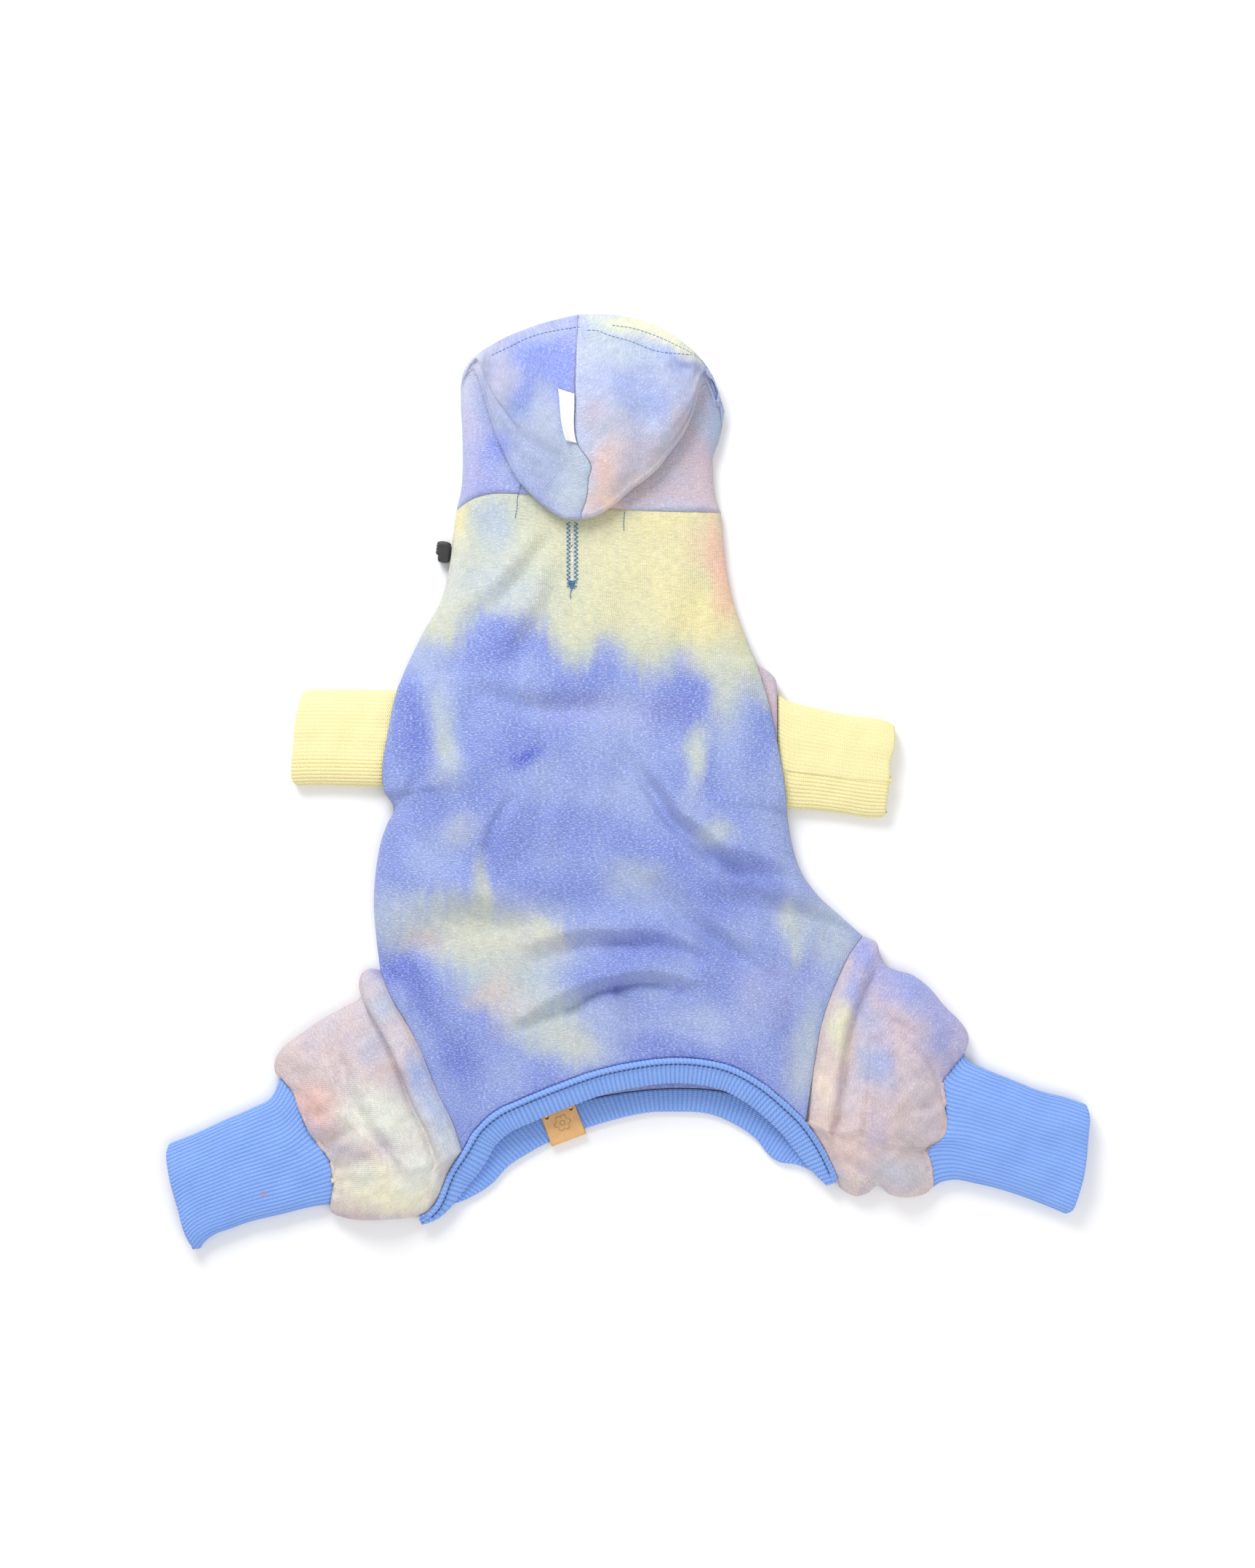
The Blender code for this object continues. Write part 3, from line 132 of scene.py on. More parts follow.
RIGHT_LEG_SEAM = ((0, 0), (0.115, -0.039), (0.226, -0.056), (0.35, -0.068), (0.51, -0.069), (0.67, -0.048),
                  (0.84, -0.024), (1, 0))
RUMP_ARC = ((0, 0), (0.051, 0.027), (0.10, 0.114), (0.133, 0.157), (0.167, 0.205), (0.217, 0.244),
            (0.28, 0.269), (0.366, 0.297), (0.452, 0.321), (0.537, 0.334), (0.629, 0.338), (0.70, 0.329),
            (0.765, 0.309), (0.834, 0.265), (0.889, 0.212), (0.928, 0.167), (0.961, 0.111), (0.987, 0.048),
            (1, 0))
# Heights: share along, share of the named height
RUMP_HEIGHTS = ((0, 0.36), (0.05, 0.42), (0.133, 0.56), (0.25, 0.80), (0.45, 0.98), (0.60, 1.0),
                (0.75, 0.93), (0.88, 0.70), (0.93, 0.56), (1, 0.36))
SEAM_HEIGHTS = ((0, 0.26), (0.06, 0.38), (0.2, 0.52), (0.5, 0.60), (1, 0.56))
BODY_HEIGHTS = ((0, 0.72), (0.05, 0.74), (0.2, 0.92), (0.5, 1.0), (0.75, 0.98), (1, 0.96))
# Front cuffs: side share, outward sign, then corners as shares of the cuff's length and width
CUFF_CORNERS = {
    "left": {"side_share": 0.50, "out": -1, "root_front": (-0.36, 0.50), "root_rear": (-0.36, -0.54),
             "inner_front": (-0.20, 0.48), "inner_rear": (-0.20, -0.52),
             "end_front": (0.75, 0.48), "end_rear": (0.83, -0.49)},
    "right": {"side_share": 0.52, "out": 1, "root_front": (-0.24, 0.82), "root_rear": (-0.17, -0.58),
              "inner_front": (0.0, 0.50), "inner_rear": (0.0, -0.62),
              "end_front": (1.07, 0.17), "end_rear": (0.97, -0.745)},
}

# Folds of the back: first and last point, bow to the left, half width, height (mm), and the share by which
# the left flank is wider and the right one narrower. FOLD_GAIN raises every height of such a table.
FOLD_GAIN = 2.1
BACK_FOLDS = (
    (-7, -127, 6, -168, 1, 1.8, -0.9, 0.0), (-64, -150, -34, -138, 2, 4.0, -1.6, 0.0),
    (-34, -138, -7, -125, 3, 3.6, -2.4, 0.0), (-7, -125, 31, -127, 4, 3.6, -2.2, 0.0),
    (-62, -141, -6, -117, 4, 8.0, 3.4, 0.35), (-6, -117, 36, -119, 4, 8.0, 3.2, 0.35),
    (-50, -108, -8, -98, 3, 5.0, -2.2, 0.2), (-8, -98, 44, -108, 4, 5.0, -2.2, 0.2),
    (-58, -96, -4, -90, 4, 8.0, 2.2, 0.3), (-4, -90, 40, -98, 4, 8.0, 2.2, 0.3),
    (16, -64, 50, -96, -3, 4.6, -2.2, 0.3), (50, -96, 86, -120, 1, 5.0, -2.6, 0.2),
    (26, -52, 62, -88, -3, 8.0, 2.0, 0.2), (62, -88, 100, -106, 1, 9.0, 1.8, 0.2),
    (4, 14, 16, -6, -1, 4.4, -2.0, 0.0), (16, -6, 30, -27, -1, 4.6, -2.8, 0.2),
    (30, -27, 48, -44, 1, 4.6, -3.4, 0.3), (48, -44, 66, -54, 1, 4.6, -3.6, 0.3),
    (66, -54, 108, -62, 2, 4.6, -3.0, 0.3), (18, 6, 36, -18, 1, 8.0, 2.2, 0.3),
    (36, -18, 60, -38, 2, 7.0, 3.2, 0.3), (60, -38, 100, -50, 2, 8.0, 3.2, 0.3),
    (-146, -16, -128, 4, 0, 4.0, -2.8, 0.0), (-128, 4, -96, 10, 3, 9.0, 1.6, 0.0),
    (-148, -30, -118, -46, 3, 8.0, -1.4, 0.0), (-153, -108, -141, -126, 0, 3.6, -3.4, 0.0),
    (-136, -112, -129, -138, 1, 4.0, -2.0, 0.0), (-129, -138, -112, -160, 1, 4.0, -1.8, 0.0),
    (-145, -116, -138, -140, 1, 5.0, 2.4, 0.0), (-124, -118, -112, -146, 2, 9.0, 1.6, 0.0),
    (-74, -12, -86, -40, -2, 3.6, -2.2, 0.2), (-66, -8, -78, -38, -2, 8.0, 1.6, 0.0),
    (-86, -40, -88, -70, 0, 5.0, -1.2, 0.0), (27, -149, 87, -166, 1, 2.2, -0.9, 0.0),
    (-84, 54, -28, 46, -4, 7.0, -1.8, 0.2), (-28, 46, 20, 40, 3, 8.0, -1.0, 0.0),
    (-84, 66, -30, 60, -4, 10.0, 1.6, 0.0), (-56, 128, -84, 84, 4, 10.0, 1.6, 0.2),
    (-44, 126, -66, 88, 4, 7.0, -1.2, 0.0), (-14, 120, -22, 84, 2, 10.0, 1.0, 0.0),
    (84, -14, 102, -30, 0, 5.0, -1.6, 0.0), (60, 60, 86, 10, 4, 10.0, 1.4, 0.0),
    (-128, -60, -70, -76, 4, 10.0, 1.6, 0.0), (-122, -84, -66, -92, 3, 8.0, -1.2, 0.0),
    (-100, 150, -112, 110, 2, 7.0, 1.0, 0.0), (-110, -166, -84, -190, 0, 6.0, -1.2, 0.0),
    (100, -130, 104, -176, 2, 7.0, -1.4, 0.0), (84, -120, 92, -170, 3, 10.0, 1.4, 0.0),
    (-62, 150, -100, 112, 3, 6.0, 1.6, 0.0), (-54, 144, -90, 104, 3, 5.0, -1.4, 0.0),
    (34, 140, 22, 96, 0, 9.0, 1.0, 0.0), (20, 158, 48, 146, 2, 7.0, 1.0, 0.0),
)
RUMP_SEAM = (-7.2, -127, 5.9, -168.5, 0, 1.1, -0.9, 0.0)

SLIT_FROM_NECK = 0.0095
SLIT_LENGTH = 0.036
SLIT_X = -0.0605 * NECK_WIDTH

PERIWINKLE = (139, 157, 228)
DEEP_BLUE = (92, 111, 210)
PALE_BLUE = (178, 194, 230)
GREEN_CREAM = (208, 212, 186)
CREAM = (232, 224, 176)
YELLOW = (243, 229, 162)
SALMON = (240, 188, 174)
LAVENDER = (178, 176, 220)
# Scale of the terry dye's red, green and blue, and the width in mm over which the cream fades out
TERRY_TONE = (0.90, 0.90, 0.86)
CREAM_FADE = 33
# Cream dye of the neck: its lower edge over the back, x and y in mm
NECK_DYE = ((-140, 90), (-125, 88), (-112, 84), (-100, 92), (-90, 107), (-80, 109), (-70, 103), (-60, 97),
            (-50, 95), (-45, 84), (-38, 75), (-28, 73), (-20, 84), (-12, 88), (-4, 79), (8, 71), (20, 72),
            (32, 76), (40, 80), (50, 67), (60, 58), (72, 60), (90, 50))
# Dye on the back: x, y, half length, half width (mm), turn (degrees), strength, colour
BACK_DYE = (
    (14, 152, 60, 24, 0, 0.75, CREAM), (30, 124, 44, 26, 12, 0.5, YELLOW), (46, 104, 26, 15, -30, 0.85, YELLOW),
    (26, 164, 26, 10, 0, 0.5, YELLOW), (-2, 108, 40, 16, 0, 0.45, CREAM), (56, 80, 16, 20, 30, 0.5, CREAM),
    (-104, 158, 6, 18, 0, 0.8, YELLOW), (-108, 122, 9, 26, -8, 0.75, (212, 217, 210)),
    (-84, 162, 10, 17, 0, 0.8, (172, 190, 222)), (-78, 134, 22, 26, 0, 0.5, (196, 206, 214)),
    (-84, 122, 16, 11, 0, 0.55, (188, 199, 220)), (-60, 112, 12, 14, 0, 0.3, PALE_BLUE),
    (61, 132, 10, 26, 10, 0.95, (246, 196, 172)), (52, 146, 16, 14, 0, 0.35, SALMON),
    (61, 116, 9, 12, 0, 0.5, (246, 200, 160)), (-78, 88, 20, 14, 10, 0.6, DEEP_BLUE),
    (-92, 92, 12, 12, 0, 0.4, PERIWINKLE), (-34, 62, 20, 10, 0, 0.5, DEEP_BLUE),
    (-13, 78, 9, 9, 0, 0.35, PERIWINKLE), (34, 44, 14, 18, 0, 0.55, DEEP_BLUE),
    (-128, 74, 10, 10, 0, 0.5, PALE_BLUE), (-133, 36, 11, 26, 6, 0.6, DEEP_BLUE),
    (-112, 60, 10, 16, 8, 0.4, PALE_BLUE), (-113, 30, 10, 24, 4, 0.75, (190, 203, 214)),
    (-116, 20, 6, 14, 0, 0.35, GREEN_CREAM), (-62, 17, 7, 6, 0, 1.0, (78, 96, 212)),
    (-62, 20, 22, 14, 10, 0.45, DEEP_BLUE), (-92, -10, 30, 14, 20, 0.3, DEEP_BLUE),
    (-110, -36, 24, 12, 20, 0.3, PALE_BLUE), (-100, -30, 10, 8, 0, 0.3, GREEN_CREAM),
    (-12, 44, 40, 12, 0, 0.25, LAVENDER), (-2, 22, 30, 16, 0, 0.25, PALE_BLUE),
    (-28, -4, 44, 12, -4, 0.25, PALE_BLUE), (43, 18, 6.4, 16, -8, 0.85, (208, 216, 200)),
    (38, -5, 6, 16, -10, 0.5, PALE_BLUE), (54, -28, 10, 9, 0, 0.65, (196, 208, 206)),
    (60, 62, 10, 22, 0, 0.7, (196, 205, 200)), (66, 30, 9, 26, -8, 0.3, PALE_BLUE),
    (4, -58, 15, 11, 0, 0.6, (182, 196, 206)), (10, -70, 18, 10, -20, 0.3, PALE_BLUE),
    (-60, -34, 46, 14, 10, 0.4, DEEP_BLUE), (-40, -62, 34, 10, 6, 0.35, DEEP_BLUE),
    (44, -60, 34, 12, -34, 0.35, DEEP_BLUE), (78, -58, 26, 9, -28, 0.4, DEEP_BLUE),
    (92, -20, 12, 22, 0, 0.3, PALE_BLUE), (-98, -88, 56, 17, -3, 0.85, (197, 207, 210)),
    (-84, -108, 38, 22, -34, 0.9, (198, 208, 206)), (-56, -134, 38, 19, -42, 0.85, (190, 203, 212)),
    (-90, -64, 5, 17, -4, 0.7, GREEN_CREAM), (-86, -96, 30, 14, -8, 0.65, (214, 211, 190)),
    (-126, -98, 13, 8, -20, 0.6, (214, 196, 196)), (-49, -95, 11, 9, 0, 0.6, (220, 218, 190)),
    (-82, -128, 9, 14, -50, 0.6, (222, 200, 192)), (-70, -140, 10, 16, -50, 0.35, (222, 204, 196)),
    (-34, -157, 20, 9, -16, 0.6, (214, 216, 196)), (-56, -158, 16, 9, -24, 0.5, (200, 209, 208)),
    (-142, -116, 8, 12, 30, 0.8, DEEP_BLUE), (-126, -134, 9, 20, 36, 0.75, DEEP_BLUE),
    (-104, -166, 9, 22, 30, 0.7, DEEP_BLUE), (-112, -146, 9, 20, 30, 0.5, PERIWINKLE),
    (-24, -116, 22, 8, 8, 0.35, DEEP_BLUE), (10, -104, 34, 8, -4, 0.35, DEEP_BLUE),
    (-8, -148, 16, 12, -8, 0.45, PALE_BLUE), (44, -148, 24, 9, -8, 0.45, PALE_BLUE),
    (30, -166, 34, 9, -14, 0.45, DEEP_BLUE), (102, -88, 6.5, 17, 10, 0.6, (214, 216, 186)),
    (118, -84, 22, 15, 30, 0.6, (190, 205, 216)), (131, -104, 12, 14, 0, 0.5, (200, 210, 208)),
    (113, -156, 9, 20, 6, 0.55, (196, 208, 206)), (105, -176, 9, 16, 6, 0.5, (198, 208, 206)),
    (88, -128, 20, 16, 0, 0.3, LAVENDER), (104, -54, 10, 12, 0, 0.4, PALE_BLUE),
    (66, -184, 36, 9, -20, 0.3, DEEP_BLUE), (124, -130, 10, 14, 0, 0.35, PALE_BLUE),
)


def linear(colour):
    """Linear value of an sRGB colour."""
    share = np.asarray(colour, float) / 255
    return np.where(share <= 0.04045, share / 12.92, ((share + 0.055) / 1.055) ** 2.4)


def through(stations, values, at):
    """Smooth curve through values at rising stations: cubic pieces whose slopes are those of their neighbours."""
    x = np.asarray(stations, float)
    y = np.asarray(values, float)
    shape = (-1,) + (1,) * (y.ndim - 1)
    chords = np.diff(y, axis=0) / np.diff(x).reshape(shape)
    slopes = np.concatenate([chords[:1], (chords[1:] + chords[:-1]) / 2, chords[-1:]])
    at = np.clip(np.asarray(at, float), x[0], x[-1])
    k = np.clip(np.searchsorted(x, at, side="right") - 1, 0, len(x) - 2)
    width = (x[k + 1] - x[k]).reshape(at.shape + (1,) * (y.ndim - 1))
    t = ((at - x[k]) / (x[k + 1] - x[k])).reshape(at.shape + (1,) * (y.ndim - 1))
    start = (2 * t**3 - 3 * t**2 + 1) * y[k] + (t**3 - 2 * t**2 + t) * width * slopes[k]
    return start + (-2 * t**3 + 3 * t**2) * y[k + 1] + (t**3 - t**2) * width * slopes[k + 1]


def column(rows, at):
    """Second column of a two-column table at shares of its first."""
    rows = np.asarray(rows, float)
    return through(rows[:, 0], rows[:, 1], at)


def run_along(route):
    """Distance along a route at each of its points: the sum of the steps up to it."""
    return np.concatenate([[0], np.cumsum(np.linalg.norm(np.diff(np.asarray(route, float), axis=0), axis=1))])


def stations_of(rows):
    """Share of the length at each row of a bow."""
    run = run_along(rows)
    return run / run[-1]


def station_at(rows, along):
    """Share of the length where a bow is this share along its chord."""
    return float(np.interp(along, np.asarray(rows, float)[:, 0], stations_of(rows)))


def bow(start, end, rows, at):
    """Plan curve from start to end, bowed off its chord by the table, at shares of its length."""
    rows = np.asarray(rows, float)
    chord = end - start
    left = np.array([-chord[1], chord[0]])
    return through(stations_of(rows), start + rows[:, :1] * chord + rows[:, 1:] * left, at)


def heading(degrees):
    """Unit vector in plan."""
    return np.array([np.cos(radians(degrees)), np.sin(radians(degrees))])


def unit(vectors):
    """Vectors scaled to a length of one."""
    return vectors / (np.linalg.norm(vectors, axis=-1)[..., None] + 1e-12)


def crowded(share, by):
    """Shares from 0 to 1 that lie closer towards both ends: a sine wave is taken off."""
    return share - by * np.sin(2 * np.pi * share) / (2 * np.pi)


def raised(plan, height):
    """Plan points with their heights."""
    return np.concatenate([plan, np.broadcast_to(height, plan.shape[:-1])[..., None]], axis=-1)


def smooth_step(value):
    """Eased rise from 0 to 1: three times the square less twice the cube."""
    value = np.clip(value, 0, 1)
    return value * value * (3 - 2 * value)


def lens(share, power):
    """Height share over a flattened tube's width: 0 at both edges, 1 in the middle, upright at the edges."""
    return (1 - np.abs(2 * np.clip(share, 0, 1) - 1) ** power) ** (1 / power)


def patch(first, last, left, right, across, fade):
    """Points between four edge curves: straight rows from left to right, bowed like first and last by fade."""
    u = across[None, :, None]
    by_first, by_last = (share[:, None, None] for share in fade)
    start, end = np.argmin(across), np.argmax(across)
    first_bow = first[None] - (1 - u) * first[start] - u * first[end]
    last_bow = last[None] - (1 - u) * last[start] - u * last[end]
    return (1 - u) * left[:, None] + u * right[:, None] + by_first * first_bow + by_last * last_bow


def panel_fade(along):
    """Shares of the neck seam's and the rump seam's bow at each row of a body panel."""
    return smooth_step(1 - along / 0.5), smooth_step((along - 0.25) / 0.75)


def drift(x, y, size, seed, waves=16):
    """Smooth uneven field between about -1 and 1: a sum of plane waves of about this size in mm."""
    rng = np.random.default_rng(seed)
    total = 0 * x
    for angle, stretch, phase in zip(rng.uniform(0, 2 * np.pi, waves), rng.uniform(0.55, 1.7, waves),
                                     rng.uniform(0, 2 * np.pi, waves)):
        total = total + np.sin(2 * np.pi * (x * np.cos(angle) + y * np.sin(angle)) / (size * stretch) + phase)
    return total / np.sqrt(waves / 2) / 1.6


def folds(x, y, table):
    """Rise in mm of folds over points in mm: a rounded ridge or trough along each bowed line of the table."""
    rise = 0 * x
    for x0, y0, x1, y1, bend, half, height, lean in table:
        length = np.hypot(x1 - x0, y1 - y0)
        run = ((x - x0) * (x1 - x0) + (y - y0) * (y1 - y0)) / length**2
        off = ((y - y0) * (x1 - x0) - (x - x0) * (y1 - y0)) / length
        inside = np.clip(run, 0, 1)
        off = off - bend * 4 * inside * (1 - inside)
        flank = half * np.where(off < 0, 1 - lean, 1 + lean)
        taper = np.exp(-(np.maximum(np.maximum(-run, run - 1), 0) * length / (1.6 * half)) ** 2)
        taper = taper * (0.55 + 0.45 * np.sin(np.pi * np.clip(run, 0.08, 0.92)))
        rise = rise + height * np.exp(-(off / flank) ** 2) * taper
    return rise


def dyed(x, y, base, table, seed, wash=None, tone_and_painted_light=TERRY_TONE):
    """Linear dye colour at points in mm: a cream wash above its edge, then soft spots laid over each other,
    their edges drawn out in fine streaks along the wales."""
    bleed_x = x + 2.4 * drift(x, y, 38, seed) + 0.5 * drift(x, y, 13, seed + 1)
    bleed_y = y + 2.6 * drift(x, y, 38, seed + 2) + 0.7 * drift(x, y, 13, seed + 3)
    streak = drift(x, 0.16 * y, 6, seed + 6)
    cloud = drift(x, 0.7 * y, 34, seed + 4)[..., None]
    colour = linear(base) * np.ones(x.shape + (1,))
    colour = colour + (linear(PALE_BLUE) - colour) * 0.22 * smooth_step(cloud)
    colour = colour + (linear(DEEP_BLUE) - colour) * 0.22 * smooth_step(-cloud)
    if wash is not None:
        share = smooth_step((bleed_y + 2.5 * streak - column(wash, bleed_x)) / CREAM_FADE + 0.5)[..., None]
        colour = colour + (linear(GREEN_CREAM) - colour) * 0.95 * share
    for px, py, length, width, turn, strength, spot in table:
        dx, dy = bleed_x - px, bleed_y - py
        along = dx * np.cos(radians(turn)) + dy * np.sin(radians(turn))
        beside = dy * np.cos(radians(turn)) - dx * np.sin(radians(turn))
        reach = np.hypot(along / length, beside / width) + 0.10 * streak
        share = strength * smooth_step((1.85 - reach) / 1.7)[..., None]
        colour = colour + (linear(spot) - colour) * share
    # At the end the colour is scaled: a plain tone on most of the terry, and on the legs a lighter scale that is
    # painted light
    return np.clip(colour * tone_and_painted_light * (1 + 0.035 * drift(x, y, 7, seed + 5)[..., None]), 0, 1)


def lengths_over(grid):
    """Distances in metres along a grid's rows and columns: U from each row's middle, V from the first row."""
    steps = np.linalg.norm(np.diff(grid, axis=1), axis=2)
    across = np.concatenate([0 * steps[:, :1], np.cumsum(steps, axis=1)], axis=1)
    across = across - across[:, across.shape[1] // 2][:, None]
    steps = np.linalg.norm(np.diff(grid, axis=0), axis=2)
    along = np.concatenate([0 * steps[:1], np.cumsum(steps, axis=0)], axis=0)
    return across, along


def facing(grid, ring=False, turned=False):
    """Unit normals of a grid: the cross product of its steps along and across, or its opposite if turned."""
    if ring:
        grid = np.concatenate([grid[:, -1:], grid, grid[:, :1]], axis=1)
    normal = unit(np.cross(np.gradient(grid, axis=0), np.gradient(grid, axis=1))) * (-1 if turned else 1)
    return normal[:, 1:-1] if ring else normal


def new_piece(name, points, faces, corner_uv, material, wall=0.0):
    """Object of the faces at points from the middle of the neck seam, with a UV map "weave" and a wall."""
    mesh = bpy.data.meshes.new(name)
    mesh.from_pydata((points + np.array([*NECK_MIDDLE, 0.0])).tolist(), [], faces)
    weave = mesh.uv_layers.new(name="weave")
    weave.data.foreach_set("uv", corner_uv.astype(np.float32).ravel())
    mesh.materials.append(material)
    mesh.shade_smooth()
    piece = bpy.data.objects.new(name, mesh)
    bpy.context.scene.collection.objects.link(piece)
    if wall:
        solidify = piece.modifiers.new("wall", "SOLIDIFY")
        solidify.thickness = wall
        solidify.offset = -1
    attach(piece, "root")
    return piece


def cloth(name, grid, wall, material, tint=None, ring=False, turned=False, marks=None, leave_out=None):
    """Piece of cloth from its outer surface: quads of the grid, a wall on the inner side, a UV map "weave"
    in metres over the cloth, a colour attribute "dye", and float attributes from marks."""
    rows, columns = grid.shape[:2]
    i, j = np.meshgrid(np.arange(rows - 1), np.arange(columns if ring else columns - 1), indexing="ij")
    k = (j + 1) % columns
    quads = np.stack([i * columns + j, (i + 1) * columns + j, (i + 1) * columns + k, i * columns + k], axis=2)
    across, along = lengths_over(np.concatenate([grid, grid[:, :1]], axis=1) if ring else grid)
    corner_u = np.stack([across[:-1, :-1], across[1:, :-1], across[1:, 1:], across[:-1, 1:]], axis=2)
    corner_v = np.stack([along[:-1, :-1], along[1:, :-1], along[1:, 1:], along[:-1, 1:]], axis=2)
    if leave_out is not None:
        quads, corner_u, corner_v = quads[~leave_out], corner_u[~leave_out], corner_v[~leave_out]
    quads, corner_u, corner_v = (a.reshape(-1, 4) for a in (quads, corner_u, corner_v))
    if turned:
        quads, corner_u, corner_v = quads[:, ::-1], corner_u[:, ::-1], corner_v[:, ::-1]
    corner_uv = np.stack([corner_u, corner_v], axis=2)
    piece = new_piece(name, grid.reshape(-1, 3), quads.tolist(), corner_uv, material, wall)
    if tint is not None:
        dye = piece.data.attributes.new("dye", "FLOAT_COLOR", "POINT")
        shades = np.concatenate([tint.reshape(-1, 3), np.ones((rows * columns, 1))], axis=1)
        dye.data.foreach_set("color", shades.astype(np.float32).ravel())
    for mark, values in (marks or {}).items():
        kept = piece.data.attributes.new(mark, "FLOAT", "POINT")
        kept.data.foreach_set("value", np.broadcast_to(values, (rows, columns)).astype(np.float32).ravel())
    return piece


class Finish:
    """A new Principled material and the nodes that lead to its colour and its relief."""

    def __init__(self, name, roughness, sheen=0.0, specular=0.5):
        self.material = bpy.data.materials.new(name)
        self.material.use_nodes = True
        self.tree = self.material.node_tree
        self.shader = self.tree.nodes["Principled BSDF"].inputs
        self.shader["Roughness"].default_value = roughness
        self.shader["Sheen Weight"].default_value = sheen
        self.shader["Sheen Roughness"].default_value = 0.55
        self.shader["Specular IOR Level"].default_value = specular

    def node(self, kind, inputs, **settings):
        """New node's outputs: its inputs are linked to sockets or set to values."""
        node = self.tree.nodes.new(kind)
        for key, value in settings.items():
            setattr(node, key, value)
        for key, value in inputs.items():
            if isinstance(value, bpy.types.NodeSocket):
                self.tree.links.new(value, node.inputs[key])
            else:
                node.inputs[key].default_value = value
        return node.outputs

    def weave(self):
        """Place over the cloth in metres, U across and V along."""
        return self.node("ShaderNodeUVMap", {}, uv_map="weave")["UV"]

    def parts(self, vector):
        """X and Y of a vector."""
        split = self.node("ShaderNodeSeparateXYZ", {"Vector": vector})
        return split["X"], split["Y"]

    def place(self):
        """Place on the object in metres."""
        return self.node("ShaderNodeTexCoord", {})["Object"]

    def mark(self, name, output="Fac"):
        """Value of one of the piece's attributes."""
        return self.node("ShaderNodeAttribute", {}, attribute_name=name)[output]

    def noise(self, vector, scale, detail, roughness=0.5):
        """Noise from 0 to 1; scale is one number, or three for noise drawn out along an axis."""
        if isinstance(scale, tuple):
            vector, scale = self.node("ShaderNodeMapping", {"Vector": vector, "Scale": scale})["Vector"], 1.0
        return self.node("ShaderNodeTexNoise", {"Vector": vector, "Scale": scale, "Detail": detail,
                                                "Roughness": roughness})["Fac"]

    def math(self, operation, *values):
        """Result of one operation on sockets and numbers."""
        return self.node("ShaderNodeMath", dict(enumerate(values)), operation=operation)[0]

    def carried(self, value, low, high, start, end):
        """The value, carried from the range low to high to the range start to end, and held within it."""
        return self.node("ShaderNodeMapRange", {"Value": value, "From Min": low, "From Max": high,
                                                "To Min": start, "To Max": end})["Result"]

    def laid_over(self, below, above, share, blend="MIX"):
        """A linear colour laid over another one by a share."""
        return self.node("ShaderNodeMix", {"Factor": share, "A": below, "B": (*above, 1)},
                         data_type="RGBA", blend_type=blend)["Result"]

    def ramp(self, share, low, high):
        """Colour between two linear colours."""
        made = self.tree.nodes.new("ShaderNodeValToRGB")
        self.tree.links.new(share, made.inputs["Fac"])
        for stop, colour in zip(made.color_ramp.elements, (low, high)):
            stop.color = (*colour, 1)
        return made.outputs["Color"]

    def finished(self, colour, height, distance, strength):
        """The material with its colour, and with fine relief by a height."""
        self.tree.links.new(colour, self.shader["Base Color"])
        bump = self.node("ShaderNodeBump", {"Height": height, "Distance": distance, "Strength": strength})
        self.tree.links.new(bump["Normal"], self.shader["Normal"])
        return self.material


def terry_material():
    """Dyed terry knit: the dye with pale flecks of undyed yarn, fine wales along V and a fluffy surface."""
    terry = Finish("dyed_terry", 0.93, 0.22, 0.2)
    weave = terry.weave()
    fleck = terry.noise(weave, (520, 1500, 1), 2.0, 0.6)
    melange = terry.noise(weave, (170, 900, 1), 2.0, 0.6)
    pale_share = terry.carried(fleck, 0.48, 0.74, 0.0, 0.46)
    deep_share = terry.carried(melange, 0.44, 0.66, 0.0, 0.48)
    colour = terry.laid_over(terry.mark("dye", "Color"), (0.92, 0.93, 0.97), pale_share)
    colour = terry.laid_over(colour, (0.72, 0.76, 0.88), deep_share, "MULTIPLY")
    wale = terry.math("SINE", terry.math("MULTIPLY", terry.parts(weave)[0], 2 * np.pi / WALE_PITCH))
    rough = terry.math("MULTIPLY_ADD", fleck, 2.6, terry.math("MULTIPLY_ADD", wale, 0.3, melange))
    return terry.finished(colour, rough, 0.00026, 0.85)


def plan_corner(x_share, y_share):
    """Corner of the body in shares of its hip width and length, from the middle of the neck seam."""
    return np.array([x_share * HIP_WIDTH, y_share * BODY_LENGTH])


NECK_LEFT = np.array([-0.5 * NECK_WIDTH, 0.0])
NECK_RIGHT = np.array([0.5 * NECK_WIDTH, -0.003 * BODY_LENGTH])
HIP_LEFT = plan_corner(-0.432, -0.7185)
HIP_RIGHT = plan_corner(0.568, -0.665)
TIP_LEFT = np.array([-0.412 * RUMP_SPAN, -1.111 * BODY_LENGTH])
TIP_RIGHT = TIP_LEFT + RUMP_SPAN * heading(4.24)
CORNER_SHARES = (station_at(RUMP_ARC, 0.133), station_at(RUMP_ARC, 0.928))
LEG_TIP_SHARES = (station_at(RUMP_ARC, 0.051), 1.0)
HOOD_CENTRE_SHARE = 0.4835


def rump_arc(at):
    """Seam of the rump opening on the back, from its left tip to its right one."""
    return bow(TIP_LEFT, TIP_RIGHT, RUMP_ARC, at)


def neck_seam(at):
    """Seam of hood and body, from left to right."""
    return bow(NECK_LEFT, NECK_RIGHT, NECK_SEAM, at)


def neck_height(share):
    """Height of the neck seam on the back: the edges' height, raised by a lens."""
    return EDGE_HEIGHT + (NECK_HEIGHT - EDGE_HEIGHT) * lens(share, 2.6)


def side_curve(side, at):
    """Outline of the body from the neck to the hip."""
    if side == "left":
        return bow(NECK_LEFT, HIP_LEFT, LEFT_SIDE, at)
    return bow(NECK_RIGHT, HIP_RIGHT, RIGHT_SIDE, at)


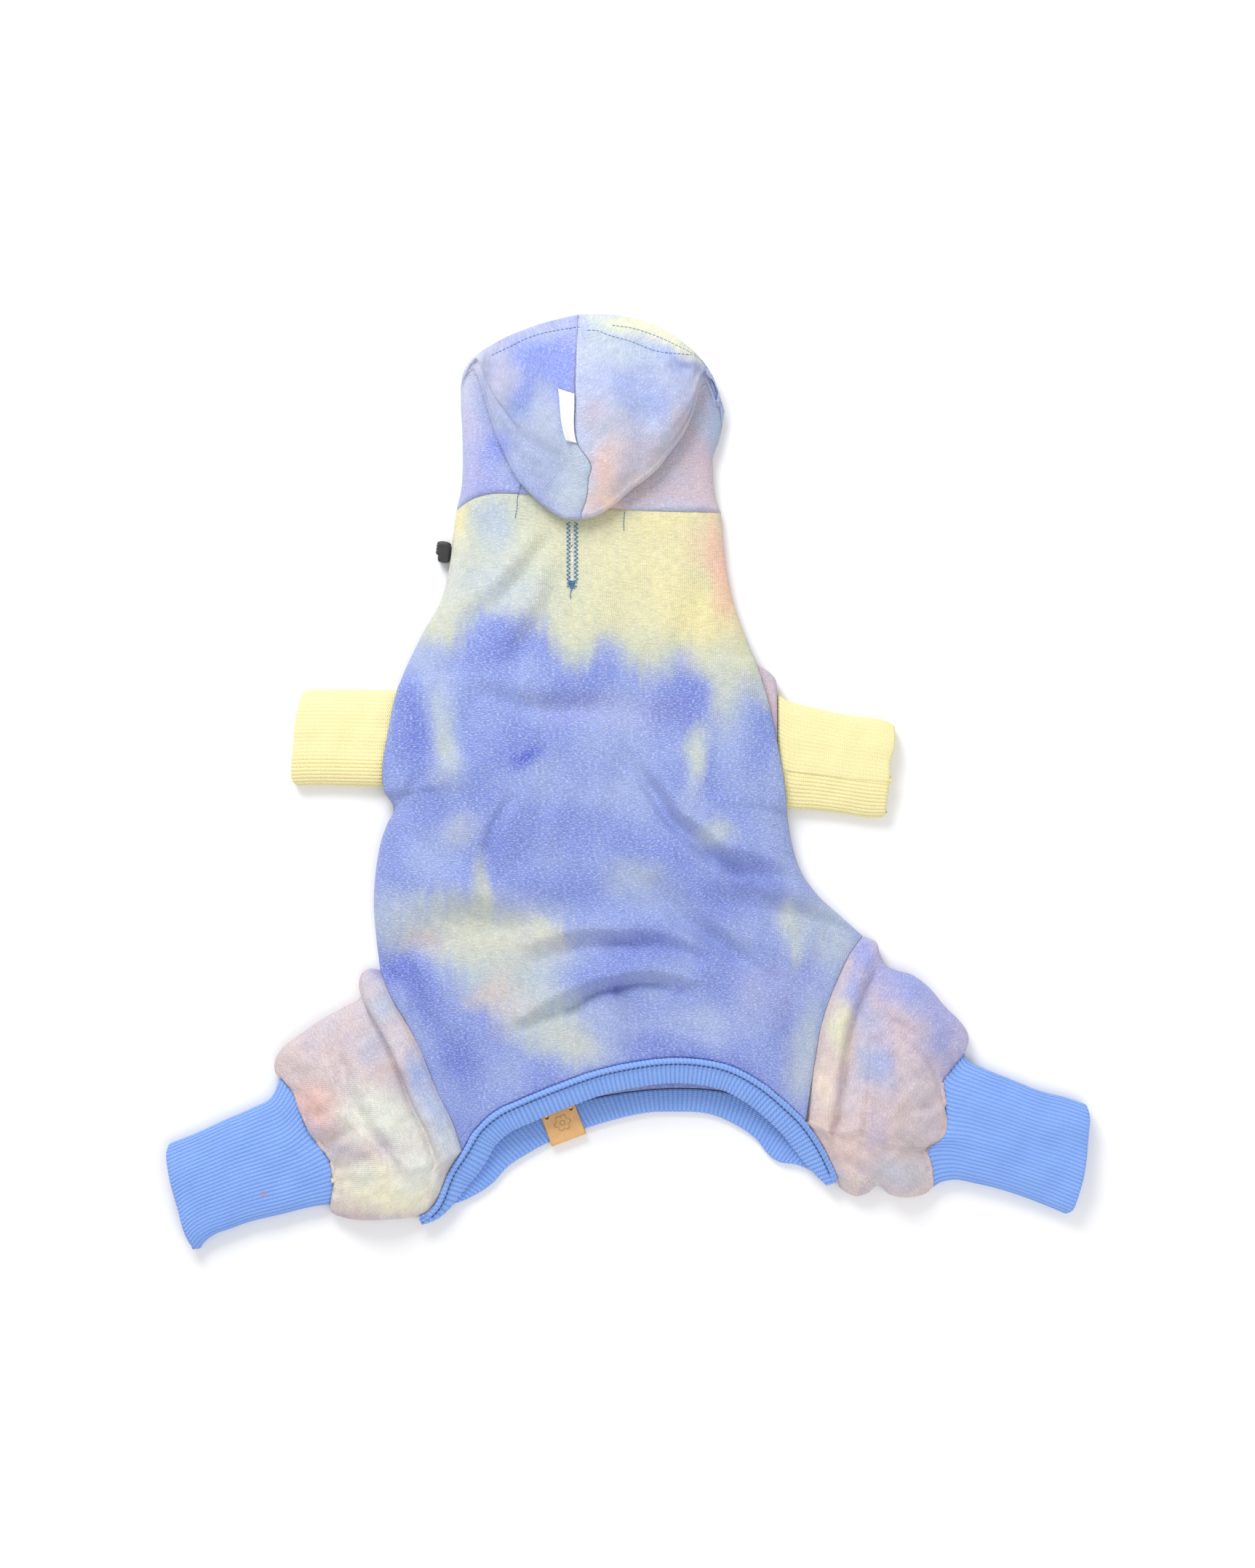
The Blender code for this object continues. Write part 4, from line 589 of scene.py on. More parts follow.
def leg_seam(side, at):
    """Seam of leg and body from the hip to the rump opening."""
    if side == "left":
        return bow(HIP_LEFT, rump_arc(CORNER_SHARES[0]), LEFT_LEG_SEAM, at)
    return bow(HIP_RIGHT, rump_arc(CORNER_SHARES[1]), RIGHT_LEG_SEAM, at)


def cuff_corner(side, name):
    """Corner of a front cuff or sleeve in plan."""
    shape = CUFF_CORNERS[side]
    out, forward = shape[name]
    middle = side_curve(side, shape["side_share"])
    return middle + np.array([shape["out"] * out * FRONT_CUFF_LENGTH, forward * FRONT_CUFF_WIDTH])


def sleeve_top(side, forward):
    """Height of a sleeve's upper wall at these places along Y: a lens over its width, and nothing beside it."""
    front = max(cuff_corner(side, "root_front")[1], cuff_corner(side, "inner_front")[1]) + 0.003
    rear = min(cuff_corner(side, "root_rear")[1], cuff_corner(side, "inner_rear")[1]) - 0.003
    return FRONT_CUFF_HEIGHT * lens((forward - rear) / (front - rear), 6)


def seam_dip(distance):
    """How far cloth is drawn down at this distance from a seam: a bell curve."""
    return SEAM_DIP * np.exp(-(distance / SEAM_DIP_WIDTH) ** 2)


def in_mm(grid):
    """World x and y of a grid, in mm."""
    return (grid[..., 0] + NECK_MIDDLE[0]) * 1000, (grid[..., 1] + NECK_MIDDLE[1]) * 1000


def panel_edge(side, along):
    """Edge of a body panel, down the side and then the leg's seam, and the share along that seam."""
    side_at = np.clip(along / SIDE_SHARE, 0, 1)
    seam_at = np.clip((along - SIDE_SHARE) / (1 - SIDE_SHARE), 0, 1)
    return np.where((along <= SIDE_SHARE)[:, None], side_curve(side, side_at), leg_seam(side, seam_at)), seam_at


def back_surface():
    """Upper body: a patch between neck seam, sides, leg seams and rump seam, arched by a lens over its width,
    plus the folds, uneven drift and a dip beside each seam."""
    across = crowded(np.linspace(0, 1, 171), 0.62)
    along = np.linspace(0, 1, 236)
    edges = []
    heights = []
    for side in ("left", "right"):
        outline, seam_at = panel_edge(side, along)
        over_sleeve = sleeve_top(side, outline[:, 1]) + SLEEVE_CLEARANCE
        beside_leg = RUMP_HEIGHT * column(SEAM_HEIGHTS, seam_at)
        edges.append(outline)
        heights.append(np.where(along <= SIDE_SHARE, np.maximum(EDGE_HEIGHT + 0.0005, over_sleeve), beside_leg))
    arc_at = CORNER_SHARES[0] + (CORNER_SHARES[1] - CORNER_SHARES[0]) * across
    plan = patch(neck_seam(across), rump_arc(arc_at), *edges, across, panel_fade(along))
    u = across[None, :]
    v = along[:, None]
    edge = (1 - u) * heights[0][:, None] + u * heights[1][:, None]
    crown = BODY_HEIGHT * column(BODY_HEIGHTS, v) + 0 * u
    beside_leg = smooth_step((v - SIDE_SHARE) / 0.08 + 1)
    height = edge + (crown - edge) * (lens(u, 2.6) + beside_leg * (lens(u, 1.2) - lens(u, 2.6)))
    to_neck = smooth_step(1 - v / 0.06)
    to_rump = smooth_step((v - 0.9) / 0.1)
    height = height + to_neck * (neck_height(u) - height)
    height = height + to_rump * (RUMP_HEIGHT * column(RUMP_HEIGHTS, arc_at)[None, :] - height)
    grid = raised(plan, height)
    x, y = in_mm(grid)
    relief = FOLD_GAIN * folds(x, y, BACK_FOLDS) * lens(u, 2.0) + folds(x, y, (RUMP_SEAM,))
    relief = relief + 0.55 * drift(x, y, 30, 3) + 0.25 * drift(x, 0.5 * y, 13, 4)
    middle = np.clip(lens(u, 4.0) * (1 - to_neck) * (1 - to_rump), 0, 1)
    grid[..., 2] += 0.001 * relief * middle
    across_m, along_m = lengths_over(grid)
    grid[..., 2] -= 0.35 * seam_dip(along_m) + seam_dip(along_m[-1] - along_m)
    grid[0] += (0, 0.0006, -0.0003)
    for edge_column in (0, -1):
        reach = np.abs(across_m - across_m[:, edge_column][:, None])
        grid[..., 2] -= seam_dip(reach) * (v > SIDE_SHARE)
    return grid


def nudge_to_slit(grid):
    """The grid with one strip of its columns moved onto the leash slit, and a mask of the quads that it cuts."""
    slit = int(np.argmin(np.abs(grid[20, :, 0] - SLIT_X)))
    offset = SLIT_X - (grid[:, slit, 0] + grid[:, slit + 1, 0]) / 2
    rows = grid[:, slit, 1]
    near = smooth_step((rows + SLIT_FROM_NECK + SLIT_LENGTH + 0.02) / 0.02)
    pull = np.exp(-((np.arange(grid.shape[1]) - slit - 0.5) / 5.0) ** 2)
    grid[..., 0] += (offset * near)[:, None] * pull[None, :]
    middle = (rows[:-1] + rows[1:]) / 2
    cut = np.zeros((grid.shape[0] - 1, grid.shape[1] - 1), bool)
    cut[:, slit] = (middle < -SLIT_FROM_NECK) & (middle > -SLIT_FROM_NECK - SLIT_LENGTH)
    return grid, cut


dyed_terry = terry_material()
back_grid, slit_quads = nudge_to_slit(back_surface())
back_tint = dyed(*in_mm(back_grid), PERIWINKLE, BACK_DYE, 11, NECK_DYE)
back = cloth("back_terry", back_grid, TERRY, dyed_terry, back_tint, leave_out=slit_quads)
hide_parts("back_panel")

# ---- Leash slit
# A slit for the leash, worked like a long buttonhole: blue zigzag thread on both lips, a bar tack at the
# lower end, and pale loops of the terry's inside showing between the lips.
THREAD_BLUE = (66, 128, 182)
THREAD_WHITE = (236, 236, 228)
ZIGZAG_THREAD = 0.00025
ZIGZAG_PITCH = 0.0026
ZIGZAG_INNER = 0.0010
ZIGZAG_OUTER = 0.0037
ZIGZAG_LIFT = np.array([0, 0, 0.00018])
SLIT_END = -SLIT_FROM_NECK - SLIT_LENGTH
TACK_THREAD = 0.00026
TACK_THREADS = 44
TACK_BELOW_SLIT = 0.0012
TACK_TAIL = ((0.0, -0.0030), (-0.0012, -0.0064), (-0.0010, -0.0100))
LOOP_THREAD = 0.00019
LOOPS = 460
LOOP_ROOT = 0.0011


def thread_material(name, colour):
    """Twisted sewing thread: fine diagonal ridges by a sine along the thread, darker in their dips as painted
    shade.
    """
    thread = Finish(name, 0.6, 0.1, 0.35)
    u, v = thread.parts(thread.weave())
    ridge = thread.math("SINE", thread.math("MULTIPLY_ADD", v, 9000.0, u))
    share = thread.carried(ridge, -1.0, 1.0, 0.0, 1.0)
    # Painted shade: darker in the dips between the ridges
    return thread.finished(thread.ramp(share, linear(colour) * 0.72, linear(colour)), ridge, 0.00005, 0.6)


def on_cloth(grid, plan):
    """Points on a cloth's surface above plan points: the mean of the nearest grid points, by distance."""
    flat = grid.reshape(-1, 3)
    gaps = np.linalg.norm(flat[None, :, :2] - plan[:, None, :], axis=2)
    nearest = np.argsort(gaps, axis=1)[:, :4]
    weight = 1 / (np.take_along_axis(gaps, nearest, axis=1) + 1e-6)
    return raised(plan, (flat[nearest, 2] * weight).sum(axis=1) / weight.sum(axis=1))


def evenly(route, spacing):
    """Points at even spacing along a route."""
    run = run_along(route)
    at = np.linspace(0, run[-1], max(int(round(run[-1] / spacing)), 1) + 1)
    return np.stack([np.interp(at, run, route[:, k]) for k in range(route.shape[1])], axis=1)


def strands(name, starts, ends, radius, material, rise=0.0002):
    """Short strands of thread from starts to ends: six-sided, arched up by rise, thin at both ends."""
    t = np.array([0.0, 0.06, 0.3, 0.7, 0.94, 1.0])
    girth = np.array([0.25, 0.8, 1.0, 1.0, 0.8, 0.25])
    middle = starts[:, None] + t[None, :, None] * (ends - starts)[:, None]
    middle[..., 2] += rise * np.sin(np.pi * t)[None]
    step = unit(ends - starts)
    side = unit(np.cross(step, np.array([0.0, 0.0, 1.0])))
    up = np.cross(side, step)
    angle = (np.arange(6) * np.pi / 3)[None, None, :, None]
    ring = np.cos(angle) * side[:, None, None] + np.sin(angle) * up[:, None, None]
    points = middle[:, :, None] + radius * girth[None, :, None, None] * ring
    base = (np.arange(len(starts)) * 36)[:, None, None]
    i, j = np.meshgrid(np.arange(5), np.arange(6), indexing="ij")
    k = (j + 1) % 6
    quads = np.stack([i * 6 + j, i * 6 + k, (i + 1) * 6 + k, (i + 1) * 6 + j], axis=2).reshape(1, -1, 4) + base
    quads = quads.reshape(-1, 4)
    caps = np.concatenate([np.arange(6)[::-1][None] + base[:, 0], np.arange(30, 36)[None] + base[:, 0]])
    corners = np.concatenate([quads.ravel(), caps.ravel()])
    corner_uv = np.stack([corners % 6, corners % 36 // 6 * 0.0006], axis=1)
    return new_piece(name, points.reshape(-1, 3), quads.tolist() + caps.tolist(), corner_uv, material)


def stitches(name, route, pitch, material, radius, sunk=0.0001):
    """Row of straight stitches along a route, with short gaps between them."""
    points = evenly(route, pitch)
    step = points[1:] - points[:-1]
    starts = points[:-1] + 0.10 * step
    ends = points[:-1] + 0.86 * step
    lift = np.array([0, 0, radius - sunk])
    return strands(name, starts + lift, ends + lift, radius, material)


def beside_slit(across, along):
    """Points on the back at places across the slit and along the body."""
    return on_cloth(back_grid, np.stack([0 * along + SLIT_X + across, along], axis=1))


blue_thread = thread_material("blue_thread", THREAD_BLUE)
slit_y = np.arange(-SLIT_FROM_NECK + 0.0015, SLIT_END - 0.001, -ZIGZAG_PITCH)
zigzag_from, zigzag_to = [], []
for lip in (-1, 1):
    inner = beside_slit(lip * ZIGZAG_INNER, slit_y)
    outer = beside_slit(lip * ZIGZAG_OUTER, slit_y - ZIGZAG_PITCH / 2)
    zigzag_from += [inner[:-1], outer[:-1]]
    zigzag_to += [outer[:-1], inner[1:]]
zigzag = strands("slit_zigzag", np.concatenate(zigzag_from) + ZIGZAG_LIFT,
                 np.concatenate(zigzag_to) + ZIGZAG_LIFT, ZIGZAG_THREAD, blue_thread)

rng = np.random.default_rng(5)
tack = np.stack([rng.uniform(-0.0017, 0.0017, TACK_THREADS) + SLIT_X,
                 rng.uniform(-0.0022, 0.0022, TACK_THREADS) + SLIT_END - TACK_BELOW_SLIT], axis=1)
tack_ends = tack + np.stack([rng.uniform(-0.0022, 0.0022, TACK_THREADS),
                             rng.uniform(-0.0006, 0.0006, TACK_THREADS)], axis=1)
tail = np.array(TACK_TAIL) + (SLIT_X, SLIT_END)
tack_from = on_cloth(back_grid, np.concatenate([tack, tail[:-1]])) + 2 * ZIGZAG_LIFT
tack_to = on_cloth(back_grid, np.concatenate([tack_ends, tail[1:]])) + 2 * ZIGZAG_LIFT
bar_tack = strands("slit_bar_tack", tack_from, tack_to, TACK_THREAD, blue_thread, 0.0004)

loop_y = rng.uniform(SLIT_END, -SLIT_FROM_NECK, LOOPS)
loop_side = rng.choice([-1.0, 1.0], LOOPS)
loop_from = beside_slit(loop_side * LOOP_ROOT, loop_y) - np.array([0, 0, 0.0002])
loop_to = loop_from + np.stack([-loop_side * rng.uniform(0.0009, 0.0021, LOOPS),
                                rng.uniform(-0.0009, 0.0009, LOOPS), rng.uniform(-0.0006, 0.0003, LOOPS)], axis=1)
white_thread = thread_material("white_thread", THREAD_WHITE)
fray = strands("slit_loops", loop_from, loop_to, LOOP_THREAD, white_thread, 0.0003)

# ---- Belly
# The lower body is a panel of the same terry, sewn to the back at its sides. It lies flat below it and is
# finished plainly, because only its rump edge can be seen from above.
BELLY_SEAM = ((0, 0), (0.051, 0.027), (0.10, 0.114), (0.133, 0.157), (0.198, 0.191), (0.31, 0.230),
              (0.464, 0.256), (0.623, 0.262), (0.75, 0.245), (0.849, 0.207), (0.928, 0.167), (0.961, 0.111),
              (0.987, 0.048), (1, 0))
BELLY_BAND_LIFT = 0.0022
BELLY_CURL = 0.003
BELLY_CORNER_SHARES = (station_at(BELLY_SEAM, 0.133), station_at(BELLY_SEAM, 0.928))


def belly_seam(at):
    """Seam of the rump opening on the belly, from its left tip to its right one."""
    return bow(TIP_LEFT, TIP_RIGHT, BELLY_SEAM, at)


def belly_surface():
    """Lower body: a patch like the back's, flat, curled up at its sides, drawn in where the sleeves leave it."""
    across = np.linspace(0, 1, 61)
    along = np.linspace(0, 1, 81)
    edges = []
    curls = []
    for side, out in (("left", -1), ("right", 1)):
        outline, _ = panel_edge(side, along)
        shape = CUFF_CORNERS[side]
        front = cuff_corner(side, "root_front")[1] + 0.008
        rear = cuff_corner(side, "root_rear")[1] - 0.008
        notch = smooth_step((front - outline[:, 1]) / 0.012) * smooth_step((outline[:, 1] - rear) / 0.012)
        outline[:, 0] += out * shape["root_front"][0] * FRONT_CUFF_LENGTH * notch
        edges.append(outline)
        curl = (1 - notch) * BELLY_CURL * smooth_step((SIDE_SHARE - along) / 0.05)
        curls.append(np.where(along <= SIDE_SHARE, curl, 0))
    arc_at = BELLY_CORNER_SHARES[0] + (BELLY_CORNER_SHARES[1] - BELLY_CORNER_SHARES[0]) * across
    plan = patch(neck_seam(across), belly_seam(arc_at), *edges, across, panel_fade(along))
    u = across[None, :]
    curl = (1 - u) * curls[0][:, None] + u * curls[1][:, None]
    height = curl * (1 - smooth_step(np.minimum(u, 1 - u) / 0.06))
    return raised(plan, height + BELLY_BAND_LIFT * smooth_step((along[:, None] - 0.9) / 0.1))


belly_grid = belly_surface()
belly_tint = dyed(*in_mm(belly_grid), PERIWINKLE, BACK_DYE[:20], 71)
belly = cloth("belly_terry", belly_grid, TERRY, dyed_terry, belly_tint, turned=True)
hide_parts("belly_panel")

# ---- Hood
# Two mirrored halves of the same terry, joined by a centre seam and sewn to the neck. The hood is
# tipped back, so its back hangs over the neck seam and its hemmed opening points away from the body.
HOOD_LENGTH = 0.121
HOOD_BULGE = 0.008
INNER_FOLD_RADIUS = 0.0018
OUTER_FOLD_RADIUS = 0.0034
FOLD_CREEP = 0.0016
HOOD_SEAM_GAP = 0.0001
HEM_RADIUS = 0.0020
HEM_TURN_IN = 0.006
# Rows of points in the five runs of the folded path, and columns of the top layer and of the throat's layer
FOLD_ROWS = (16, 13, 13, 17, 96)
TOP_COLUMNS = 81
THROAT_COLUMNS = 33
TOP_LAYER = slice(60, 150)
HOOD_BASE = {"left": (168, 180, 226), "right": (188, 197, 230)}

# Share from the centre seam to the side, and how far forward of the neck seam the hidden fold, the fold
# over the neck and the hem lie, in shares of HOOD_LENGTH. "side" is the outline: share forward, then its
# distance from the middle in neck widths. The two folds have faded out at the share "fold_ends".
HOOD_SHAPES = {
    "left": {"sign": -1, "fold_ends": 0.95,
             "hidden_fold": ((0, 0.375), (0.54, 0.49), (0.7, 0.59), (0.80, 0.66), (0.88, 0.695), (0.94, 0.66),
                             (1, 0.60)),
             "neck_fold": ((0, -0.056), (0.13, -0.052), (0.30, 0.015), (0.43, 0.097), (0.54, 0.178),
                           (0.63, 0.29), (0.71, 0.41), (0.755, 0.51), (0.79, 0.58), (0.84, 0.635),
                           (0.885, 0.66), (0.94, 0.63), (1, 0.58)),
             "hem": ((0, 0.978), (0.32, 0.931), (0.57, 0.877), (0.85, 0.797), (0.96, 0.755), (1, 0.70)),
             "side": ((0, 0.5), (0.12, 0.481), (0.39, 0.478), (0.55, 0.484), (0.70, 0.478), (0.75, 0.464))},
    "right": {"sign": 1, "fold_ends": 0.94,
              "hidden_fold": ((0, 0.375), (0.6, 0.45), (0.76, 0.55), (0.84, 0.62), (0.88, 0.63), (0.93, 0.56),
                              (0.97, 0.48), (1, 0.40)),
              "neck_fold": ((0, -0.056), (0.11, -0.037), (0.23, 0.015), (0.38, 0.097), (0.56, 0.19),
                            (0.66, 0.275), (0.72, 0.36), (0.76, 0.425), (0.80, 0.48), (0.84, 0.545),
                            (0.87, 0.585), (0.90, 0.58), (0.94, 0.51), (0.97, 0.44), (1, 0.38)),
              "hem": ((0, 0.978), (0.16, 0.978), (0.38, 0.958), (0.60, 0.894), (0.79, 0.796), (0.89, 0.72),
                      (0.96, 0.60), (1, 0.51)),
              "side": ((0, 0.5), (0.08, 0.478), (0.23, 0.470), (0.28, 0.470), (0.37, 0.494), (0.52, 0.514))},
}
# Share along the top layer, shift of the centre seam in neck widths; then rise in shares of HOOD_BULGE
HOOD_SEAM = ((0, -0.016), (0.08, 0.005), (0.17, 0.011), (0.23, 0.022), (0.35, -0.030), (0.58, -0.038),
             (0.76, -0.036), (1, -0.025))
HOOD_RISE = ((0, 0), (0.15, 0.55), (0.4, 1.0), (0.7, 0.7), (1, -0.45))
HOOD_FOLDS = (
    (-90, 246, -87, 222, 1, 2.6, -2.6, 0.0), (-96, 254, -88, 240, 0, 3.0, -1.8, 0.0),
    (-84, 262, -76, 226, 4, 7.0, 2.0, 0.0), (-103, 230, -90, 240, 0, 1.8, -1.6, 0.0),
    (-103, 225, -91, 235, 0, 3.4, 1.6, 0.0), (-76, 222, -50, 190, 4, 8.0, 1.8, 0.0),
    (-58, 214, -38, 184, 4, 7.0, -1.0, 0.0), (-46, 206, -34, 180, 2, 6.0, 1.0, 0.0),
    (-70, 258, -60, 226, 3, 8.0, -1.2, 0.0), (-46, 262, -40, 232, 2, 9.0, 1.2, 0.0),
    (30, 254, 47, 249, 3, 3.4, -2.4, 0.0), (26, 262, 50, 258, 3, 6.0, 1.6, 0.0),
    (47, 249, 49, 240, 0, 3.4, -1.4, 0.0), (-18, 256, -6, 226, 3, 7.0, 1.6, 0.0),
    (-6, 226, 2, 196, 3, 6.0, 1.2, 0.0), (-14, 200, -6, 176, 2, 4.0, 1.2, 0.0),
    (8, 238, 26, 206, -4, 9.0, -1.4, 0.0), (36, 236, 18, 200, -4, 8.0, 1.8, 0.0),
    (4, 206, 12, 184, -2, 6.0, -1.0, 0.0), (38, 222, 54, 206, -2, 1.8, -2.0, 0.0),
    (38, 217, 52, 202, -2, 4.0, 1.4, 0.0), (-24, 262, 20, 250, 4, 12.0, 0.8, 0.0),
    (54, 250, 54, 214, 0, 2.4, -0.9, 0.0),
)
HOOD_DYE = {
    "left": (
        (-81, 266, 20, 8, 20, 0.6, (204, 204, 232)), (-52, 276, 22, 6, 18, 0.5, (190, 196, 230)),
        (-32, 282, 10, 8, 0, 0.6, (162, 168, 236)), (-56, 262, 17, 11, 0, 0.9, (122, 142, 232)),
        (-37, 252, 9, 16, 0, 0.85, (130, 146, 238)), (-44, 262, 16, 10, 0, 0.3, (140, 156, 234)),
        (-66, 240, 6, 12, -10, 0.8, (128, 148, 232)), (-65, 227, 6, 6, 0, 0.8, (130, 156, 222)),
        (-49, 221, 12, 10, 0, 0.55, (188, 199, 222)), (-32, 196, 16, 18, 30, 0.85, (186, 200, 218)),
        (-32, 176, 12, 12, 0, 0.8, (194, 207, 226)), (-52, 196, 12, 12, 0, 0.4, (168, 184, 226)),
        (-78, 248, 9, 14, 0, 0.75, (196, 194, 224)), (-82, 226, 6, 12, 0, 0.5, (164, 176, 226)),
        (-100, 246, 7, 20, 0, 0.8, (196, 198, 224)), (-97, 218, 8, 14, 0, 0.75, (194, 188, 224)),
        (-83, 206, 11, 9, 20, 0.9, (124, 142, 236)), (-92, 200, 12, 20, 0, 0.5, (162, 170, 230)),
        (-100, 190, 7, 14, 0, 0.6, (178, 174, 224)), (-84, 184, 14, 9, 0, 0.6, (152, 158, 232)),
        (-68, 184, 8, 8, 0, 0.5, (150, 166, 232)),
    ),
    "right": (
        (-12, 270, 18, 14, 0, 0.75, (194, 208, 222)), (10, 264, 22, 9, -8, 0.5, (178, 194, 226)),
        (34, 262, 16, 9, -20, 0.7, (160, 174, 236)), (0, 244, 18, 10, -10, 0.8, (162, 176, 238)),
        (18, 232, 16, 9, -10, 0.8, (158, 174, 234)), (-20, 249, 7, 14, 0, 0.5, (188, 198, 238)),
        (30, 246, 14, 10, 0, 0.4, (172, 184, 232)), (-20, 227, 8, 8, 0, 0.85, (196, 186, 214)),
        (-10, 217, 9, 9, 0, 0.6, (200, 199, 216)), (6, 210, 14, 9, 0, 0.6, (194, 188, 214)),
        (-8, 203, 12, 8, 0, 0.7, (222, 202, 206)), (-14, 189, 9, 12, 0, 0.9, (234, 198, 188)),
        (-14, 172, 12, 9, 0, 0.9, (238, 204, 190)), (6, 185, 12, 12, 30, 0.75, (216, 194, 196)),
        (22, 198, 10, 12, 30, 0.75, (208, 192, 200)), (36, 220, 6, 14, 20, 0.8, (208, 190, 202)),
        (44, 238, 5, 10, 10, 0.7, (208, 192, 208)), (20, 214, 12, 8, 30, 0.5, (196, 190, 214)),
        (56, 246, 5, 18, 0, 0.6, (178, 190, 236)), (58, 218, 5, 14, 0, 0.7, (180, 198, 226)),
        (43, 196, 12, 16, 0, 0.9, (214, 190, 204)), (32, 178, 20, 9, 0, 0.9, (209, 187, 201)),
        (54, 180, 10, 14, 0, 0.85, (216, 192, 203)), (-12, 284, 14, 5.5, -4, 0.8, (228, 232, 216)),
        (10, 281, 16, 6, -14, 0.95, (246, 243, 208)), (32, 272, 15, 6, -32, 0.95, (244, 242, 208)),
        (-22, 284, 8, 8, 0, 0.5, (206, 216, 224)), (40, 270, 14, 5, -42, 0.7, (224, 228, 214)),
    ),
}


def slant(line, share):
    """How much longer a fold's round is along Y than straight across the fold's line."""
    return np.hypot(1, np.gradient(line, NECK_WIDTH / 2 * share))


def folded_path(neck, hidden, over_neck, hem, turn, radii):
    """Forward place, rise and share of the last run, for a wall that runs forward, turns back by the angle
    turn over a round, runs back, turns forward over a second round and runs on to the hem."""
    inner, outer = radii
    lean = np.sin(np.minimum(turn, np.pi / 2))
    creep = FOLD_CREEP * (1 - turn / np.pi)
    t_run, t_inner, t_back, t_outer, t_top = (np.linspace(0, 1, rows)[:, None] for rows in FOLD_ROWS)
    first_end = hidden - inner * lean
    y1 = neck + t_run * (first_end - neck)
    y2 = first_end + inner * np.sin(t_inner * turn) + t_inner * creep
    z2 = INNER_FOLD_RADIUS * (1 - np.cos(t_inner * turn))
    back_run = np.maximum(hidden - over_neck - (inner + outer) * lean, 0)
    back_run = back_run * smooth_step((turn / np.pi - 0.5) / 0.4)
    y3 = y2[-1] + t_back * (back_run * np.cos(turn) + creep / 2)
    z3 = z2[-1] + t_back * back_run * np.sin(turn)
    y4 = y3[-1] + outer * (np.sin(turn) - np.sin((1 - t_outer) * turn)) + t_outer * creep
    z4 = z3[-1] + OUTER_FOLD_RADIUS * (np.cos((1 - t_outer) * turn) - np.cos(turn))
    y5 = y4[-1] + t_top * np.maximum(hem - y4[-1], 0.005)
    forward = np.concatenate([y1, y2[1:], y3[1:], y4[1:], y5[1:]])
    rise = np.concatenate([0 * y1, z2[1:], z3[1:], z4[1:], z4[-1] + 0 * y5[1:]])
    share = np.concatenate([0 * y1, 0 * y2[1:], 0 * y3[1:], 0 * y4[1:], t_top[1:] + 0 * y5[1:]])
    return forward, rise, share


def turned_under(grid, radius, depth, ring=False, turned=False):
    """The grid with its last edge turned to the inner side: a half circle of rows, then a run back of depth."""
    normal = facing(grid, ring, turned)[-1]
    out = unit(grid[-1] - grid[-5])
    bend = np.linspace(0, np.pi, 9)[1:, None, None]
    round_rows = grid[-1] + radius * np.sin(bend) * out - radius * (1 - np.cos(bend)) * normal
    back_rows = round_rows[-1] - np.linspace(0, depth, 4)[1:, None, None] * out
    return np.concatenate([grid, round_rows, back_rows])


